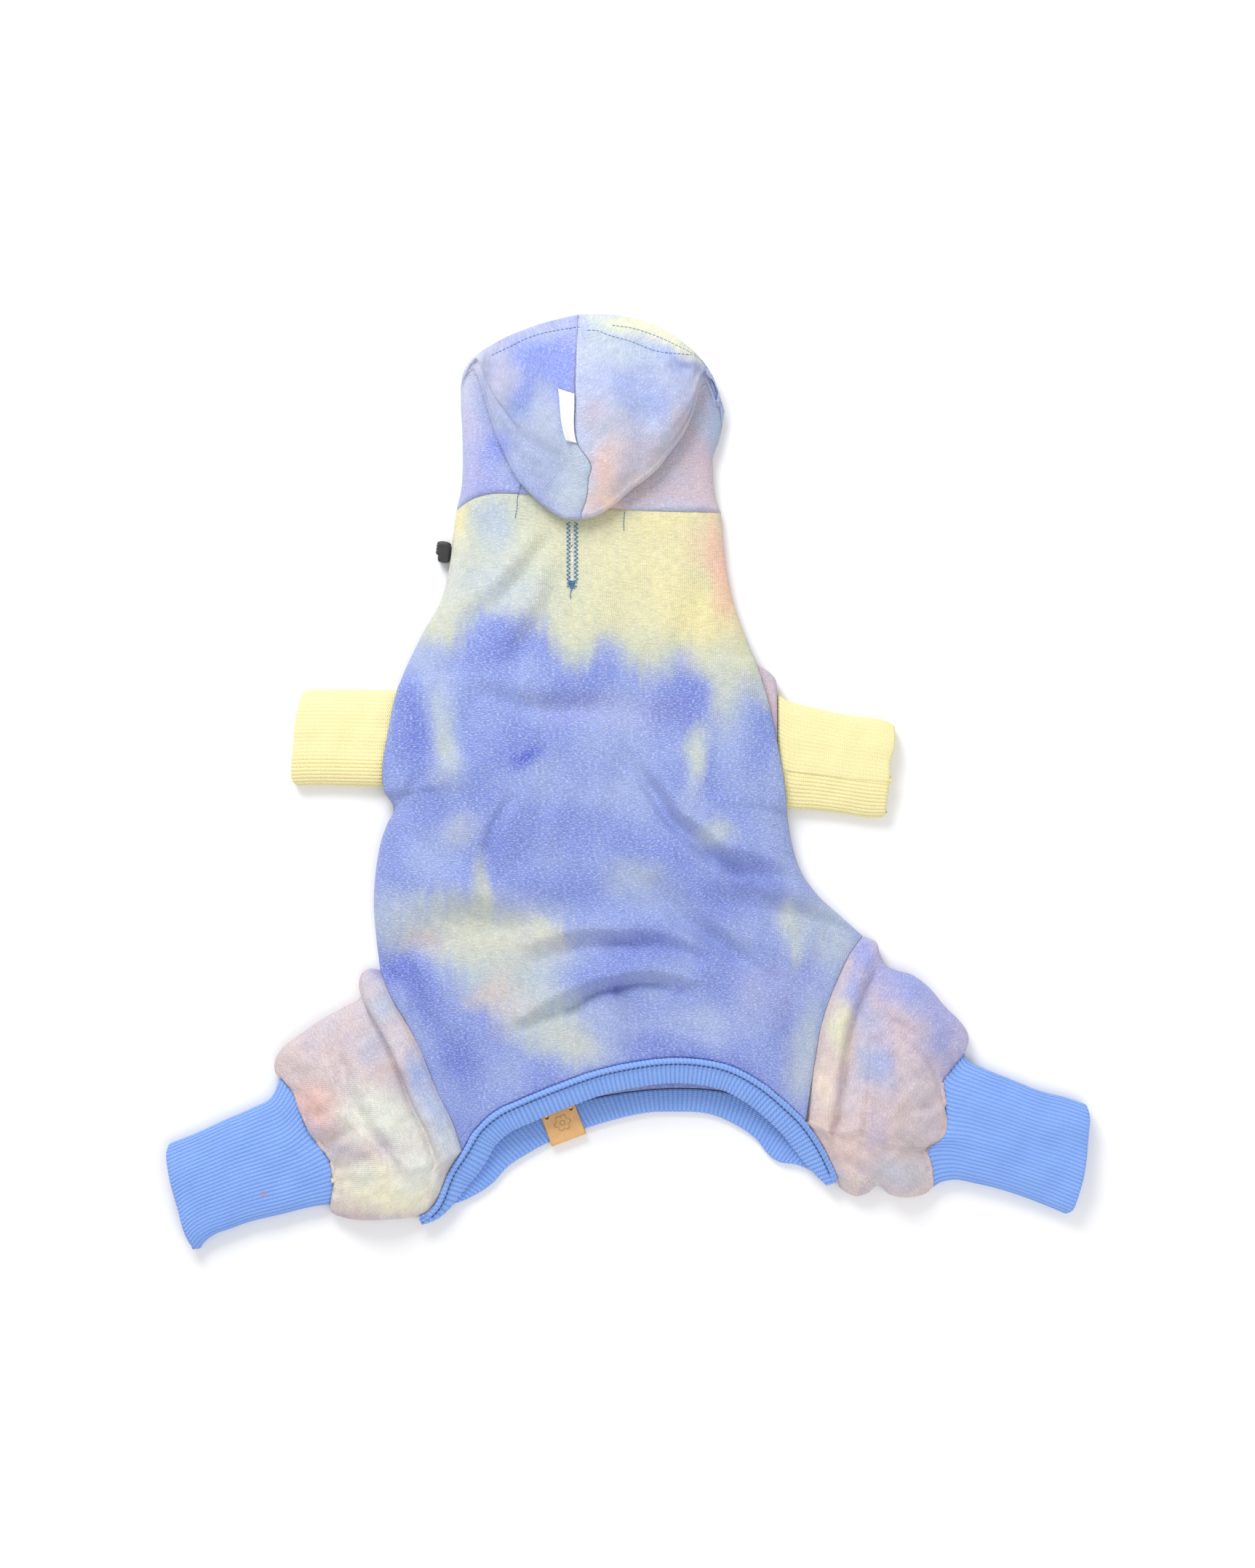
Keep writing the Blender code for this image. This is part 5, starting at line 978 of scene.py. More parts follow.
def hood_surface(side):
    """Half of the hood, from the centre seam over the top to the side and back below to the throat: the
    folded path in each column, with the neck's arch, a soft bulge in the top layer, and folds."""
    shape = HOOD_SHAPES[side]
    sign = shape["sign"]
    t = np.linspace(0, 1, TOP_COLUMNS)
    over = 0.55 * t + 0.45 * np.sin(t * np.pi / 2)
    under = np.linspace(1, 0, THROAT_COLUMNS)[1:]
    share = np.concatenate([over, under])
    on_top = np.arange(len(share)) < len(over)
    half = HOOD_CENTRE_SHARE if side == "left" else 1 - HOOD_CENTRE_SHARE
    neck_share = HOOD_CENTRE_SHARE + sign * half * share
    neck = neck_seam(neck_share)
    hidden = HOOD_LENGTH * column(shape["hidden_fold"], share)
    over_neck = HOOD_LENGTH * column(shape["neck_fold"], share)
    hem = HOOD_LENGTH * column(shape["hem"], share)
    turn = np.pi * smooth_step((shape["fold_ends"] - share) / 0.20)
    radii = []
    for radius, line in ((INNER_FOLD_RADIUS, hidden), (OUTER_FOLD_RADIUS, over_neck)):
        longer = np.minimum(slant(line[on_top], over), 2.2 - 1.2 * smooth_step((over - 0.80) / 0.12))
        radii.append(radius * np.concatenate([longer, np.interp(under, over, longer)]))
    forward, rise, layer_share = folded_path(neck[:, 1], hidden, over_neck, hem, turn, radii)
    side_forward = forward[:, len(over) - 1:len(over)]
    side_share = (side_forward - side_forward[0]) / (side_forward[-1] - side_forward[0])
    throat_hem = hem[len(over) - 1] + (HOOD_LENGTH * 0.60 - hem[len(over) - 1]) * (1 - share)
    throat = neck[:, 1] + (throat_hem - neck[:, 1]) * side_share
    forward = np.where(on_top, forward, throat)
    bulge = HOOD_BULGE * column(HOOD_RISE, layer_share) * lens(neck_share, 2.0)
    height = np.where(on_top, neck_height(neck_share) + rise + bulge, EDGE_HEIGHT * (1 - lens(neck_share, 3.4)))
    from_neck = np.clip((forward - neck[:, 1]) / HOOD_LENGTH, 0, 1)
    side_shift = sign * NECK_WIDTH * (column(shape["side"], from_neck) - 0.5)
    seam_shift = NECK_WIDTH * (column(HOOD_SEAM, layer_share) - HOOD_SEAM[0][1])
    x = neck[:, 0] + side_shift * share + np.where(on_top, seam_shift * (1 - share), 0)
    grid = np.stack([x + sign * HOOD_SEAM_GAP * np.clip(1 - share / 0.03, 0, 1), forward, height], axis=2)
    wx, wy = in_mm(grid)
    on_layer = layer_share * on_top * np.clip((1 - share) / 0.12, 0, 1)
    relief = folds(wx, wy, HOOD_FOLDS) + 0.5 * drift(wx, wy, 30, 21) + 0.25 * drift(wx, wy, 14, 22)
    grid[..., 2] += 0.001 * relief * smooth_step(on_layer / 0.15) * smooth_step((1 - on_layer) / 0.1 + 0.2)
    dip = 0.0006 * np.exp(-(share / 0.022) ** 2) * (layer_share > 0)
    grid[..., 2] -= np.where(on_top, dip, 0)
    return turned_under(grid, HEM_RADIUS, HEM_TURN_IN, False, side == "right")


hood_grids = {}
for side, base in HOOD_BASE.items():
    hood_grids[side] = hood_surface(side)
    hood_tint = dyed(*in_mm(hood_grids[side]), base, HOOD_DYE[side], 31)
    hood = cloth("hood_terry_" + side, hood_grids[side], TERRY, dyed_terry, hood_tint, turned=side == "right")
    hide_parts("hood_" + side)

# Blue topstitching of the hem, two rows on the right half, and the ends of two seams' threads at the neck:
# x and y in mm
HEM_STITCHES = {
    "left": (((-29, 281), (-39, 279.5), (-54, 276.5), (-64, 273), (-74, 268), (-84, 263)),),
    "right": (((-25, 278.5), (-19, 278.5), (-11.7, 275.5), (0.7, 272), (18, 265.5), (30.5, 264), (41.6, 263),
               (46.6, 259.5), (52, 250), (54.6, 240), (55.2, 230), (54.6, 219), (53.4, 208)),
              ((-10, 282), (3, 280), (17, 275.5), (30, 269.5), (42, 263.5))),
}
NECK_TICKS = {"left": ((-65, 188), (-67, 181), (-68.2, 176.5), (-68.4, 170), (-69.6, 164)),
              "right": ((-1.8, 168), (-2.6, 161), (-2.4, 156))}
HEM_STITCH_PITCH = 0.0026
NECK_STITCH_PITCH = 0.0017
HEM_THREAD = 0.00017
NECK_THREAD = 0.00024


def sewn_on(grid, line):
    """Route on a cloth's surface through points given in mm."""
    run = run_along(line)
    plan = through(run, line, np.linspace(0, run[-1], int(run[-1] / 1.5) + 2)) / 1000 - NECK_MIDDLE
    return on_cloth(grid, plan)


for side, lines in HEM_STITCHES.items():
    for number, line in enumerate(lines):
        route = sewn_on(hood_grids[side][TOP_LAYER, :TOP_COLUMNS], line)
        row = stitches("hood_topstitch_%s_%d" % (side, number + 1), route, HEM_STITCH_PITCH, blue_thread,
                       HEM_THREAD, 0.00006)
for side, line in NECK_TICKS.items():
    under = np.concatenate([hood_grids["left"][:8, :TOP_COLUMNS].reshape(-1, 3), back_grid.reshape(-1, 3)])
    tick = stitches("neck_thread_" + side, sewn_on(under, line), NECK_STITCH_PITCH, blue_thread, NECK_THREAD, 0.0)

# ---- Sleeves and front cuffs
# A short terry sleeve runs out under each edge of the back, with a doubled cuff of yellow one by one rib
# whose ribs run along the leg. The cuff's open end is the fold of its two layers.
RIB_KNIT = 0.0024
RIB_WALL = 0.0016
RIB_PITCH = 0.00235
COURSE_PITCH = 0.00115
CUFF_FOLD_RADIUS = 0.0021
CUFF_TURN_IN = 0.008
STRAIGHT = ((0, 0), (1, 0))
CUFF_EDGES = {
    "left": {"front": ((0, 0), (0.25, 0.004), (0.55, -0.002), (1, 0)),
             "rear": ((0, 0), (0.2, -0.008), (0.53, -0.012), (0.85, -0.010), (1, 0)),
             "end": ((0, 0), (0.154, -0.039), (0.306, -0.055), (0.607, -0.058), (0.757, -0.059), (0.965, -0.033),
                     (1, 0)),
             "sleeve": STRAIGHT},
    "right": {"front": ((0, 0), (0.101, -0.033), (0.322, -0.032), (0.618, -0.016), (0.902, 0.021), (1, 0)),
              "rear": ((0, 0), (0.104, -0.020), (0.352, -0.009), (0.603, -0.010), (0.847, -0.020), (1, 0)),
              "end": ((0, 0), (0.251, 0.008), (0.409, -0.020), (0.626, 0.0), (0.838, -0.005), (1, 0)),
              "sleeve": ((0, 0), (0.35, 0.16), (0.7, 0.20), (1, 0))},
}
# Edge of the right cuff's upper layer, x and y in mm
CUFF_OVERLAP = ((80, 122, 138.6, 165), (10.4, 5.7, 3.5, 1.0))
# Yellow rib on its crests, and darker in its grooves: painted shade
RIB_YELLOW = (252, 243, 186)
RIB_YELLOW_GROOVE_SHADE = (238, 223, 160)
SLEEVE_BASE = (190, 186, 214)
SLEEVE_DYE = ((84, 50, 20, 20, 0, 0.9, (216, 190, 200)), (-128, 30, 20, 40, 0, 0.8, PERIWINKLE))


def tube_height(share, height):
    """Upper wall of a flattened tube: two fifths of its height at the edges, and the rest by a lens."""
    return height * (0.4 + 0.6 * lens(share, 2.6))


def tube_floor(share, height):
    """Lower wall of a flattened tube, flat on the floor between its rounded edges."""
    return 0.4 * height * (1 - lens(share, 3.4))


def ring_places(count, width, height):
    """Evenly spaced points round a flattened tube: share across its width, and which are on its upper wall."""
    share = (1 - np.cos(np.linspace(0, np.pi, 900))) / 2
    upper = np.stack([share * width, tube_height(share, height)], axis=1)
    lower = np.stack([share * width, tube_floor(share, height)], axis=1)[::-1]
    loop = np.concatenate([upper, lower[1:]])
    run = run_along(loop)
    at = np.arange(count) / count * run[-1]
    return np.interp(at, run, loop[:, 0]) / width, at < run[len(upper) - 1], run[-1]


def tube_grid(first, last, front, rear, share, over, along, height):
    """Ring grid of a flattened tube between its first and last line and its two edges."""
    plan = patch(first, last, front, rear, share, (1 - along, along))
    return raised(plan, np.where(over, tube_height(share, height), tube_floor(share, height)))


def ribbed(grid, ribs, depth, ring=True, turned=False):
    """The grid with ribs along its rows: rounded columns of stitches with narrow grooves between them, as deep
    as depth says at each point, and the share by which each point is a groove, which gets painted shade."""
    phase = np.arange(grid.shape[1]) / (grid.shape[1] if ring else grid.shape[1] - 1) * ribs
    crest = np.abs(np.cos(np.pi * phase)) ** 0.7
    return grid + depth * (crest[None, :, None] - 0.6) * facing(grid, ring, turned), 1 - crest


def rib_ring(width, height):
    """Places round a ribbed tube, eight to a rib: share across, which are on top, and the number of ribs."""
    _, _, girth = ring_places(100, width, height)
    ribs = int(round(girth / RIB_PITCH))
    share, over, _ = ring_places(8 * ribs, width, height)
    return share, over, ribs


def rib_material(name, colour, groove_shade_colour, stain=None):
    """One by one rib knit: slanting stitches, with painted shade in the grooves and between stitches, a little
    uneven in colour, and where stain gives x, y, radius and colour, one small round stain."""
    rib = Finish(name, 0.85, 0.2, 0.25)
    weave, place = rib.weave(), rib.place()
    u, v = rib.parts(weave)
    cloud = rib.noise(place, 60.0, 3.0)
    yarn = rib.noise(weave, (1400, 2600, 1), 2.0)
    slope = rib.math("MULTIPLY", rib.math("COSINE", rib.math("MULTIPLY", u, 2 * np.pi / RIB_PITCH)), 1.3)
    stitch = rib.math("SINE", rib.math("MULTIPLY_ADD", v, 2 * np.pi / COURSE_PITCH, slope))
    # Painted shade: darker in the grooves and in the dips between the stitches
    shade = rib.math("MULTIPLY_ADD", rib.mark("groove"), 0.75, rib.carried(stitch, -1.0, 1.0, 0.16, -0.04))
    uneven = rib.math("MULTIPLY_ADD", yarn, 0.36, rib.math("MULTIPLY_ADD", cloud, 0.30, -0.15))
    knit = rib.ramp(rib.math("ADD", shade, uneven), linear(colour), linear(groove_shade_colour))
    if stain:
        x, y, radius, stain_colour = stain
        centred = rib.node("ShaderNodeMapping", {"Vector": place, "Location": (-x / radius, -y / radius, 0),
                                                 "Scale": (1 / radius, 1 / radius, 0)})["Vector"]
        reach = rib.node("ShaderNodeVectorMath", {0: centred}, operation="LENGTH")["Value"]
        knit = rib.laid_over(knit, linear(stain_colour), rib.carried(reach, 0.5, 1.1, 0.7, 0.0))
    return rib.finished(knit, rib.math("MULTIPLY_ADD", yarn, 1.2, stitch), 0.00018, 0.8)


def settled(grid, share, over, along, swell, size, seed, dip):
    """The tube with its upper wall uneven by swell, and drawn down by dip beside its seam."""
    top = over * lens(share, 3.0)
    grid[..., 2] += swell * drift(*in_mm(grid), size, seed) * top
    grid[..., 2] -= dip * np.exp(-(along[:, None] / 0.03) ** 2) * top
    return grid


yellow_rib = rib_material("yellow_rib", RIB_YELLOW, RIB_YELLOW_GROOVE_SHADE)
for side in ("left", "right"):
    corner = {name: cuff_corner(side, name) for name, place in CUFF_CORNERS[side].items()
              if isinstance(place, tuple)}
    edges = CUFF_EDGES[side]
    share, over, _ = ring_places(120, FRONT_CUFF_WIDTH, FRONT_CUFF_HEIGHT)
    along = np.linspace(0.02, 0.98, 15)
    sleeve_grid = tube_grid(bow(corner["root_front"], corner["root_rear"], STRAIGHT, share),
                            bow(corner["inner_front"], corner["inner_rear"], STRAIGHT, share),
                            bow(corner["root_front"], corner["inner_front"], edges["sleeve"], along),
                            bow(corner["root_rear"], corner["inner_rear"], STRAIGHT, along),
                            share, over, along, FRONT_CUFF_HEIGHT)
    sleeve_tint = dyed(*in_mm(sleeve_grid), SLEEVE_BASE, SLEEVE_DYE, 41)
    sleeve = cloth("sleeve_terry_" + side, sleeve_grid, TERRY, dyed_terry, sleeve_tint, ring=True,
                   turned=side == "right")
    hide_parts("front_sleeve_" + side)

    share, over, ribs = rib_ring(FRONT_CUFF_WIDTH, FRONT_CUFF_HEIGHT)
    along = np.linspace(0.004, 0.97, 30)
    cuff_grid = tube_grid(bow(corner["inner_front"], corner["inner_rear"], STRAIGHT, share),
                          bow(corner["end_front"], corner["end_rear"], edges["end"], share),
                          bow(corner["inner_front"], corner["end_front"], edges["front"], along),
                          bow(corner["inner_rear"], corner["end_rear"], edges["rear"], along),
                          share, over, along, FRONT_CUFF_HEIGHT)
    wx, wy = in_mm(cuff_grid)
    cuff_grid = settled(cuff_grid, share, over, along, 0.0004, 22, 51, 0.0016)
    # The ribs are clear over the rear third of the left cuff, and behind the upper layer's edge on the right,
    # where they are deeper and their grooves get more painted shade
    clear = smooth_step((share - 0.66) / 0.1) + 0 * wx
    if side == "right":
        overlap = np.interp(wx, *CUFF_OVERLAP) - wy
        clear = smooth_step(overlap / 0.8)
        cuff_grid[..., 2] -= 0.0007 * clear * over * lens(share, 3.0)
    cuff_grid = turned_under(cuff_grid, CUFF_FOLD_RADIUS, CUFF_TURN_IN, True, side == "right")
    clear = np.concatenate([clear, np.repeat(clear[-1:], len(cuff_grid) - len(clear), axis=0)])
    cuff_grid, groove = ribbed(cuff_grid, ribs, 0.00018 + 0.00024 * clear[..., None], True, side == "right")
    groove = groove[None] * (0.35 + 0.75 * clear)
    cuff = cloth("front_cuff_rib_" + side, cuff_grid, RIB_WALL, yellow_rib, ring=True, turned=side == "right",
                 marks={"groove": groove})
    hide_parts("front_cuff_" + side)

# ---- Rear legs
# Full legs of the same terry, each sewn to the body and gathered at its cuff. A rolled fold stands beside
# the seam with the body.
LEG_LENGTH = 0.070
LEG_HEIGHT = 0.030
LEG_END_WIDTH = 0.085
REAR_CUFF_LENGTH = 0.0836
REAR_CUFF_WIDTH = 0.069
REAR_CUFF_HEIGHT = 0.0135
LEG_HEIGHTS = ((0, 0.50), (0.10, 0.62), (0.20, 0.66), (0.45, 1.0), (0.70, 0.88), (0.88, 0.56), (1, 0.42))
LEG_SHAPES = {
    "left": {
        "front": ((0, 0), (0.044, -0.061), (0.106, -0.077), (0.181, -0.034), (0.225, 0.028), (0.354, -0.008),
                  (0.521, -0.062), (0.692, -0.099), (0.845, -0.125), (0.944, -0.107), (1.005, -0.049), (1, 0)),
        "rear": ((0, 0), (0.099, 0.087), (0.220, 0.110), (0.391, 0.127), (0.619, 0.145), (0.841, 0.133),
                 (0.985, 0.078), (1, 0)),
        "cuff_line": ((0, 0), (0.091, 0.049), (0.155, 0.069), (0.303, 0.062), (0.469, 0.071), (0.578, 0.107),
                      (0.70, 0.132), (0.831, 0.099), (1, 0)),
        "cuff_front": ((0, 0), (0.152, 0.102), (0.320, 0.093), (0.548, 0.063), (0.778, 0.039), (1, 0)),
        "cuff_rear": ((0, 0), (0.132, -0.028), (0.358, -0.051), (0.579, -0.076), (0.741, -0.077),
                      (0.858, -0.076), (0.963, -0.040), (1, 0)),
        "cuff_end": ((0, 0), (0.065, -0.033), (0.214, -0.057), (0.435, -0.069), (0.851, -0.064),
                     (0.948, -0.039), (1, 0)),
        "heading": 207.1, "line_heading": -68.9, "cuff_heading": 205.2, "end_heading": -73.3,
    },
    "right": {
        "front": ((0, 0), (0.096, 0.041), (0.162, 0.010), (0.250, -0.009), (0.301, 0.015), (0.396, 0.076),
                  (0.533, 0.107), (0.689, 0.104), (0.828, 0.115), (0.925, 0.100), (0.972, 0.061), (1, 0)),
        "rear": ((0, 0), (0.046, -0.033), (0.162, -0.085), (0.289, -0.051), (0.395, 0.024), (0.532, -0.076),
                 (0.720, -0.107), (0.903, -0.075), (1, 0)),
        "cuff_line": ((0, 0), (0.133, -0.075), (0.261, -0.110), (0.391, -0.066), (0.497, -0.025),
                      (0.613, -0.021), (0.748, -0.107), (0.843, -0.063), (1, 0)),
        "cuff_front": ((0, 0), (0.039, -0.036), (0.169, -0.049), (0.403, -0.046), (0.641, -0.041),
                       (0.823, -0.013), (1, 0)),
        "cuff_rear": ((0, 0), (0.04, 0.040), (0.142, 0.083), (0.292, 0.087), (0.472, 0.082), (0.655, 0.062),
                      (0.841, 0.032), (1, 0)),
        "cuff_end": ((0, 0), (0.081, 0.029), (0.282, 0.059), (0.480, 0.070), (0.700, 0.071), (0.882, 0.058),
                     (0.959, 0.039), (1, 0)),
        "heading": -30.7, "line_heading": -102.8, "cuff_heading": -17.2, "end_heading": -100.6,
    },
}
LEG_BASE = {"left": (206, 188, 190), "right": (212, 192, 194)}
# Painted light: the legs' dye is scaled lighter than that of the rest of the terry
LEG_PAINTED_LIGHT = (1.0, 0.98, 0.95)
# Folds and dye as on the back
LEG_FOLDS = {
    "left": (
        (-181, -142, -176, -174, -3, 5.0, -2.6, 0.2), (-176, -174, -151, -224, -4, 5.0, -2.2, 0.2),
        (-151, -224, -137, -243, 0, 4.0, -1.4, 0.0), (-200, -160, -192, -190, 4, 8.0, 1.2, 0.0),
        (-188, -222, -172, -214, 0, 4.0, -1.8, 0.0), (-180, -239, -164, -232, 0, 4.0, -1.6, 0.0),
        (-196, -206, -182, -200, 0, 4.0, -1.2, 0.0), (-168, -176, -140, -224, 5, 9.0, 1.4, 0.0),
        (-150, -262, -146, -240, 0, 5.0, -1.0, 0.0),
    ),
    "right": (
        (158, -147, 172, -154, 2, 4.0, -2.0, 0.0), (172, -154, 193, -186, 3, 4.0, -2.0, 0.3),
        (182, -226, 172, -218, 0, 4.0, -2.4, 0.0), (134, -235, 154, -249, 3, 5.0, -2.6, 0.0),
        (172, -140, 190, -160, 4, 9.0, 1.6, 0.0), (128, -150, 134, -210, -3, 10.0, 1.6, 0.0),
        (150, -170, 160, -214, 3, 8.0, 1.2, 0.0), (192, -196, 176, -200, 0, 4.0, -1.6, 0.0),
        (150, -160, 144, -226, 2, 4.0, -2.0, 0.2),
    ),
}
LEG_DYE = {
    "left": (
        (-187, -152, 20, 22, 0, 0.5, (202, 192, 200)), (-202, -174, 14, 14, 0, 0.6, (216, 197, 197)),
        (-193, -198, 14, 12, -20, 0.9, (238, 192, 182)), (-172, -180, 24, 14, -10, 0.5, (216, 200, 200)),
        (-150, -206, 26, 15, -20, 0.9, (228, 233, 220)), (-168, -214, 10, 8, 0, 0.5, (224, 214, 204)),
        (-160, -246, 26, 13, 0, 0.9, (244, 240, 210)), (-138, -256, 24, 12, 0, 0.85, (240, 236, 204)),
        (-164, -242, 7, 8, 0, 0.6, (206, 212, 208)), (-128, -236, 14, 16, 20, 0.9, (232, 236, 228)),
        (-158, -124, 9, 10, 0, 0.7, (190, 190, 208)), (-150, -114, 8, 7, 0, 0.8, DEEP_BLUE),
        (-150, -138, 8, 9, 0, 0.8, (176, 191, 218)), (-143, -158, 8, 11, 10, 0.8, (208, 202, 212)),
        (-130, -180, 9, 14, 24, 0.9, (150, 174, 226)), (-118, -202, 8, 14, 24, 0.85, (170, 190, 226)),
        (-108, -222, 8, 12, 24, 0.8, (198, 212, 222)), (-158, -162, 7, 12, 0, 0.6, (186, 190, 210)),
    ),
    "right": (
        (146, -104, 9, 14, 0, 0.85, (142, 156, 226)), (138, -130, 8, 12, 14, 0.85, (152, 166, 226)),
        (129, -154, 6.5, 15, 12, 0.85, (226, 226, 190)), (121, -186, 7, 16, 8, 0.9, (242, 222, 200)),
        (117, -206, 8, 9, 0, 0.7, (228, 202, 194)), (150, -142, 7, 12, 14, 0.6, (150, 166, 220)),
        (177, -123, 26, 14, -24, 1.0, (146, 158, 222)), (196, -145, 19, 15, -40, 0.9, (160, 166, 224)),
        (208, -162, 9, 13, 0, 0.8, (180, 176, 218)), (186, -164, 9, 12, -30, 0.9, (142, 156, 222)),
        (199, -178, 10, 10, 0, 0.7, (162, 166, 220)), (166, -150, 10, 9, -30, 0.7, (202, 188, 207)),
        (176, -168, 10, 14, 20, 0.8, (212, 194, 202)), (152, -172, 10, 13, 0, 0.85, (160, 176, 224)),
        (156, -184, 14, 8, 0, 0.4, (192, 192, 216)), (165, -200, 24, 12, 0, 0.6, (212, 194, 196)),
        (188, -196, 9, 14, 0, 0.6, (206, 191, 201)), (133, -222, 12, 12, -20, 0.85, (226, 198, 192)),
        (148, -232, 14, 9, -20, 0.7, (218, 198, 196)), (163, -243, 14, 9, 0, 0.75, (192, 198, 218)),
        (176, -238, 9, 9, 0, 0.6, (198, 198, 208)), (140, -247, 12, 7, 0, 0.7, (208, 194, 186)),
        (176, -222, 12, 9, 0, 0.6, (212, 197, 197)),
    ),
}


def leg_root_corner(side):
    """Share of a leg's root line that is its seam with the body."""
    seam = run_along(leg_seam(side, np.linspace(0, 1, 20)))[-1]
    span = (LEG_TIP_SHARES[0], CORNER_SHARES[0]) if side == "left" else (CORNER_SHARES[1], LEG_TIP_SHARES[1])
    rest = run_along(rump_arc(np.linspace(*span, 20)))[-1]
    return seam / (seam + rest)


def leg_root(side, share):
    """Root line of a leg, down its seam with the body and then along the rump opening, and its height."""
    part = leg_root_corner(side)
    k = 0 if side == "left" else 1
    seam_at = np.clip(share / part, 0, 1)
    past = np.clip((share - part) / (1 - part), 0, 1)
    arc_at = CORNER_SHARES[k] + (LEG_TIP_SHARES[k] - CORNER_SHARES[k]) * past
    plan = np.where((share <= part)[:, None], leg_seam(side, seam_at), rump_arc(arc_at))
    height = np.where(share <= part, column(SEAM_HEIGHTS, seam_at), column(RUMP_HEIGHTS, arc_at))
    return plan, RUMP_HEIGHT * height


def leg_end(side):
    """Front and rear corner of a leg where its cuff begins."""
    shape = LEG_SHAPES[side]
    middle = leg_root(side, np.array([0.0, 1.0]))[0].mean(axis=0) + LEG_LENGTH * heading(shape["heading"])
    half = LEG_END_WIDTH / 2 * heading(shape["line_heading"])
    return middle - half, middle + half


def leg_surface(side):
    """Rear leg: a patch between its root, its two edges and the cuff line, over the top from its front edge
    to its rear one and back below, with a welt beside the seam, folds and gathers at the cuff."""
    shape = LEG_SHAPES[side]
    over = crowded(np.linspace(0, 1, 141), 0.7)
    share = np.concatenate([over, crowded(np.linspace(1, 0, 61)[1:-1], 0.7)])
    on_top = np.arange(len(share)) < len(over)
    along = np.linspace(0.001, 0.999, 121)
    root, root_height = leg_root(side, share)
    end_front, end_rear = leg_end(side)
    first, last = leg_root(side, np.array([0.0, 1.0]))[0]
    plan = patch(root, bow(end_front, end_rear, shape["cuff_line"], share),
                 bow(first, end_front, shape["front"], along), bow(last, end_rear, shape["rear"], along),
                 share, (1 - along, along))
    w = share[None, :]
    v = along[:, None]
    middle = EDGE_HEIGHT + (0.4 * REAR_CUFF_HEIGHT - EDGE_HEIGHT) * v
    root_rise = (root_height[None, :] - EDGE_HEIGHT) * np.sqrt(np.clip((1 - w) / 0.06, 0, 1))
    rise = (LEG_HEIGHT * column(LEG_HEIGHTS, v) - middle) * lens(w, 2.4)
    rise = rise + smooth_step(1 - v / 0.12) * (root_rise - rise)
    cuff_rise = tube_height(w, REAR_CUFF_HEIGHT) - 0.4 * REAR_CUFF_HEIGHT
    rise = rise + smooth_step((v - 0.92) / 0.08) * (cuff_rise - rise)
    height = np.where(on_top, middle + rise, middle * (1 - lens(w, 3.4)))
    grid = raised(plan, height)
    wx, wy = in_mm(grid)
    corner = leg_root_corner(side)
    welt = 4.6 * np.sqrt(np.clip(1 - ((v - 0.10) / 0.10) ** 2, 0, 1)) - 3.4 * np.exp(-((v - 0.22) / 0.035) ** 2)
    welt = welt * smooth_step(w / 0.1) * smooth_step((corner - w) / 0.06 + 1)
    gathers = np.sin(2 * np.pi * (w * 9 + 0.6 * np.sin(7 * w))) * np.exp(-((v - 0.93) / 0.07) ** 2)
    relief = FOLD_GAIN * folds(wx, wy, LEG_FOLDS[side]) + welt + 0.6 * gathers
    relief = relief + 0.6 * drift(wx, wy, 24, 61) + 0.35 * drift(wx, wy, 12, 62)
    inside = lens(w, 2.0) * smooth_step(v / 0.03) * smooth_step((1 - v) / 0.03)
    _, from_root = lengths_over(grid)
    grid[..., 2] += np.where(on_top, 0.001 * relief * inside - seam_dip(from_root), 0)
    for edge, beside, tuck in ((0, 1, 0.0008), (-1, -2, 0.0012)):
        step = grid[edge] - grid[beside]
        step[:, 2] = 0
        step *= tuck / (np.linalg.norm(step, axis=1)[:, None] + 1e-9)
        grid[edge, on_top] += (step - (0, 0, tuck))[on_top]
    # Where gathers fold the underside over itself, it is lifted by its wall, so that no cloth is under the floor
    upward = np.clip(facing(grid, True, side == "right")[..., 2] + 0.6, 0, 1)
    grid[..., 2] += np.where(on_top, 0, TERRY * upward * lens(w, 3.4))
    return grid


for side, base in LEG_BASE.items():
    leg_grid = leg_surface(side)
    # The legs' dye is lightened by painted light
    leg_tint = dyed(*in_mm(leg_grid), base, LEG_DYE[side], 81, tone_and_painted_light=LEG_PAINTED_LIGHT)
    leg = cloth("rear_leg_terry_" + side, leg_grid, TERRY, dyed_terry, leg_tint, ring=True,
                turned=side == "right")
    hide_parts("rear_leg_" + side)

# ---- Rear cuffs
# Long doubled cuffs of blue one by one rib, their ribs along the leg. Each is sewn to its leg's gathered
# end, and its open end is the fold of its two layers.
# Blue rib on its crests, and darker in its grooves: painted shade
RIB_BLUE = (152, 190, 252)
RIB_BLUE_GROOVE_SHADE = (112, 152, 236)
# Small stain on the left cuff: x, y, radius and colour
CUFF_STAIN = (-0.2255, -0.2539, 0.0028, (176, 152, 196))
RIB_DEPTH = 0.00042

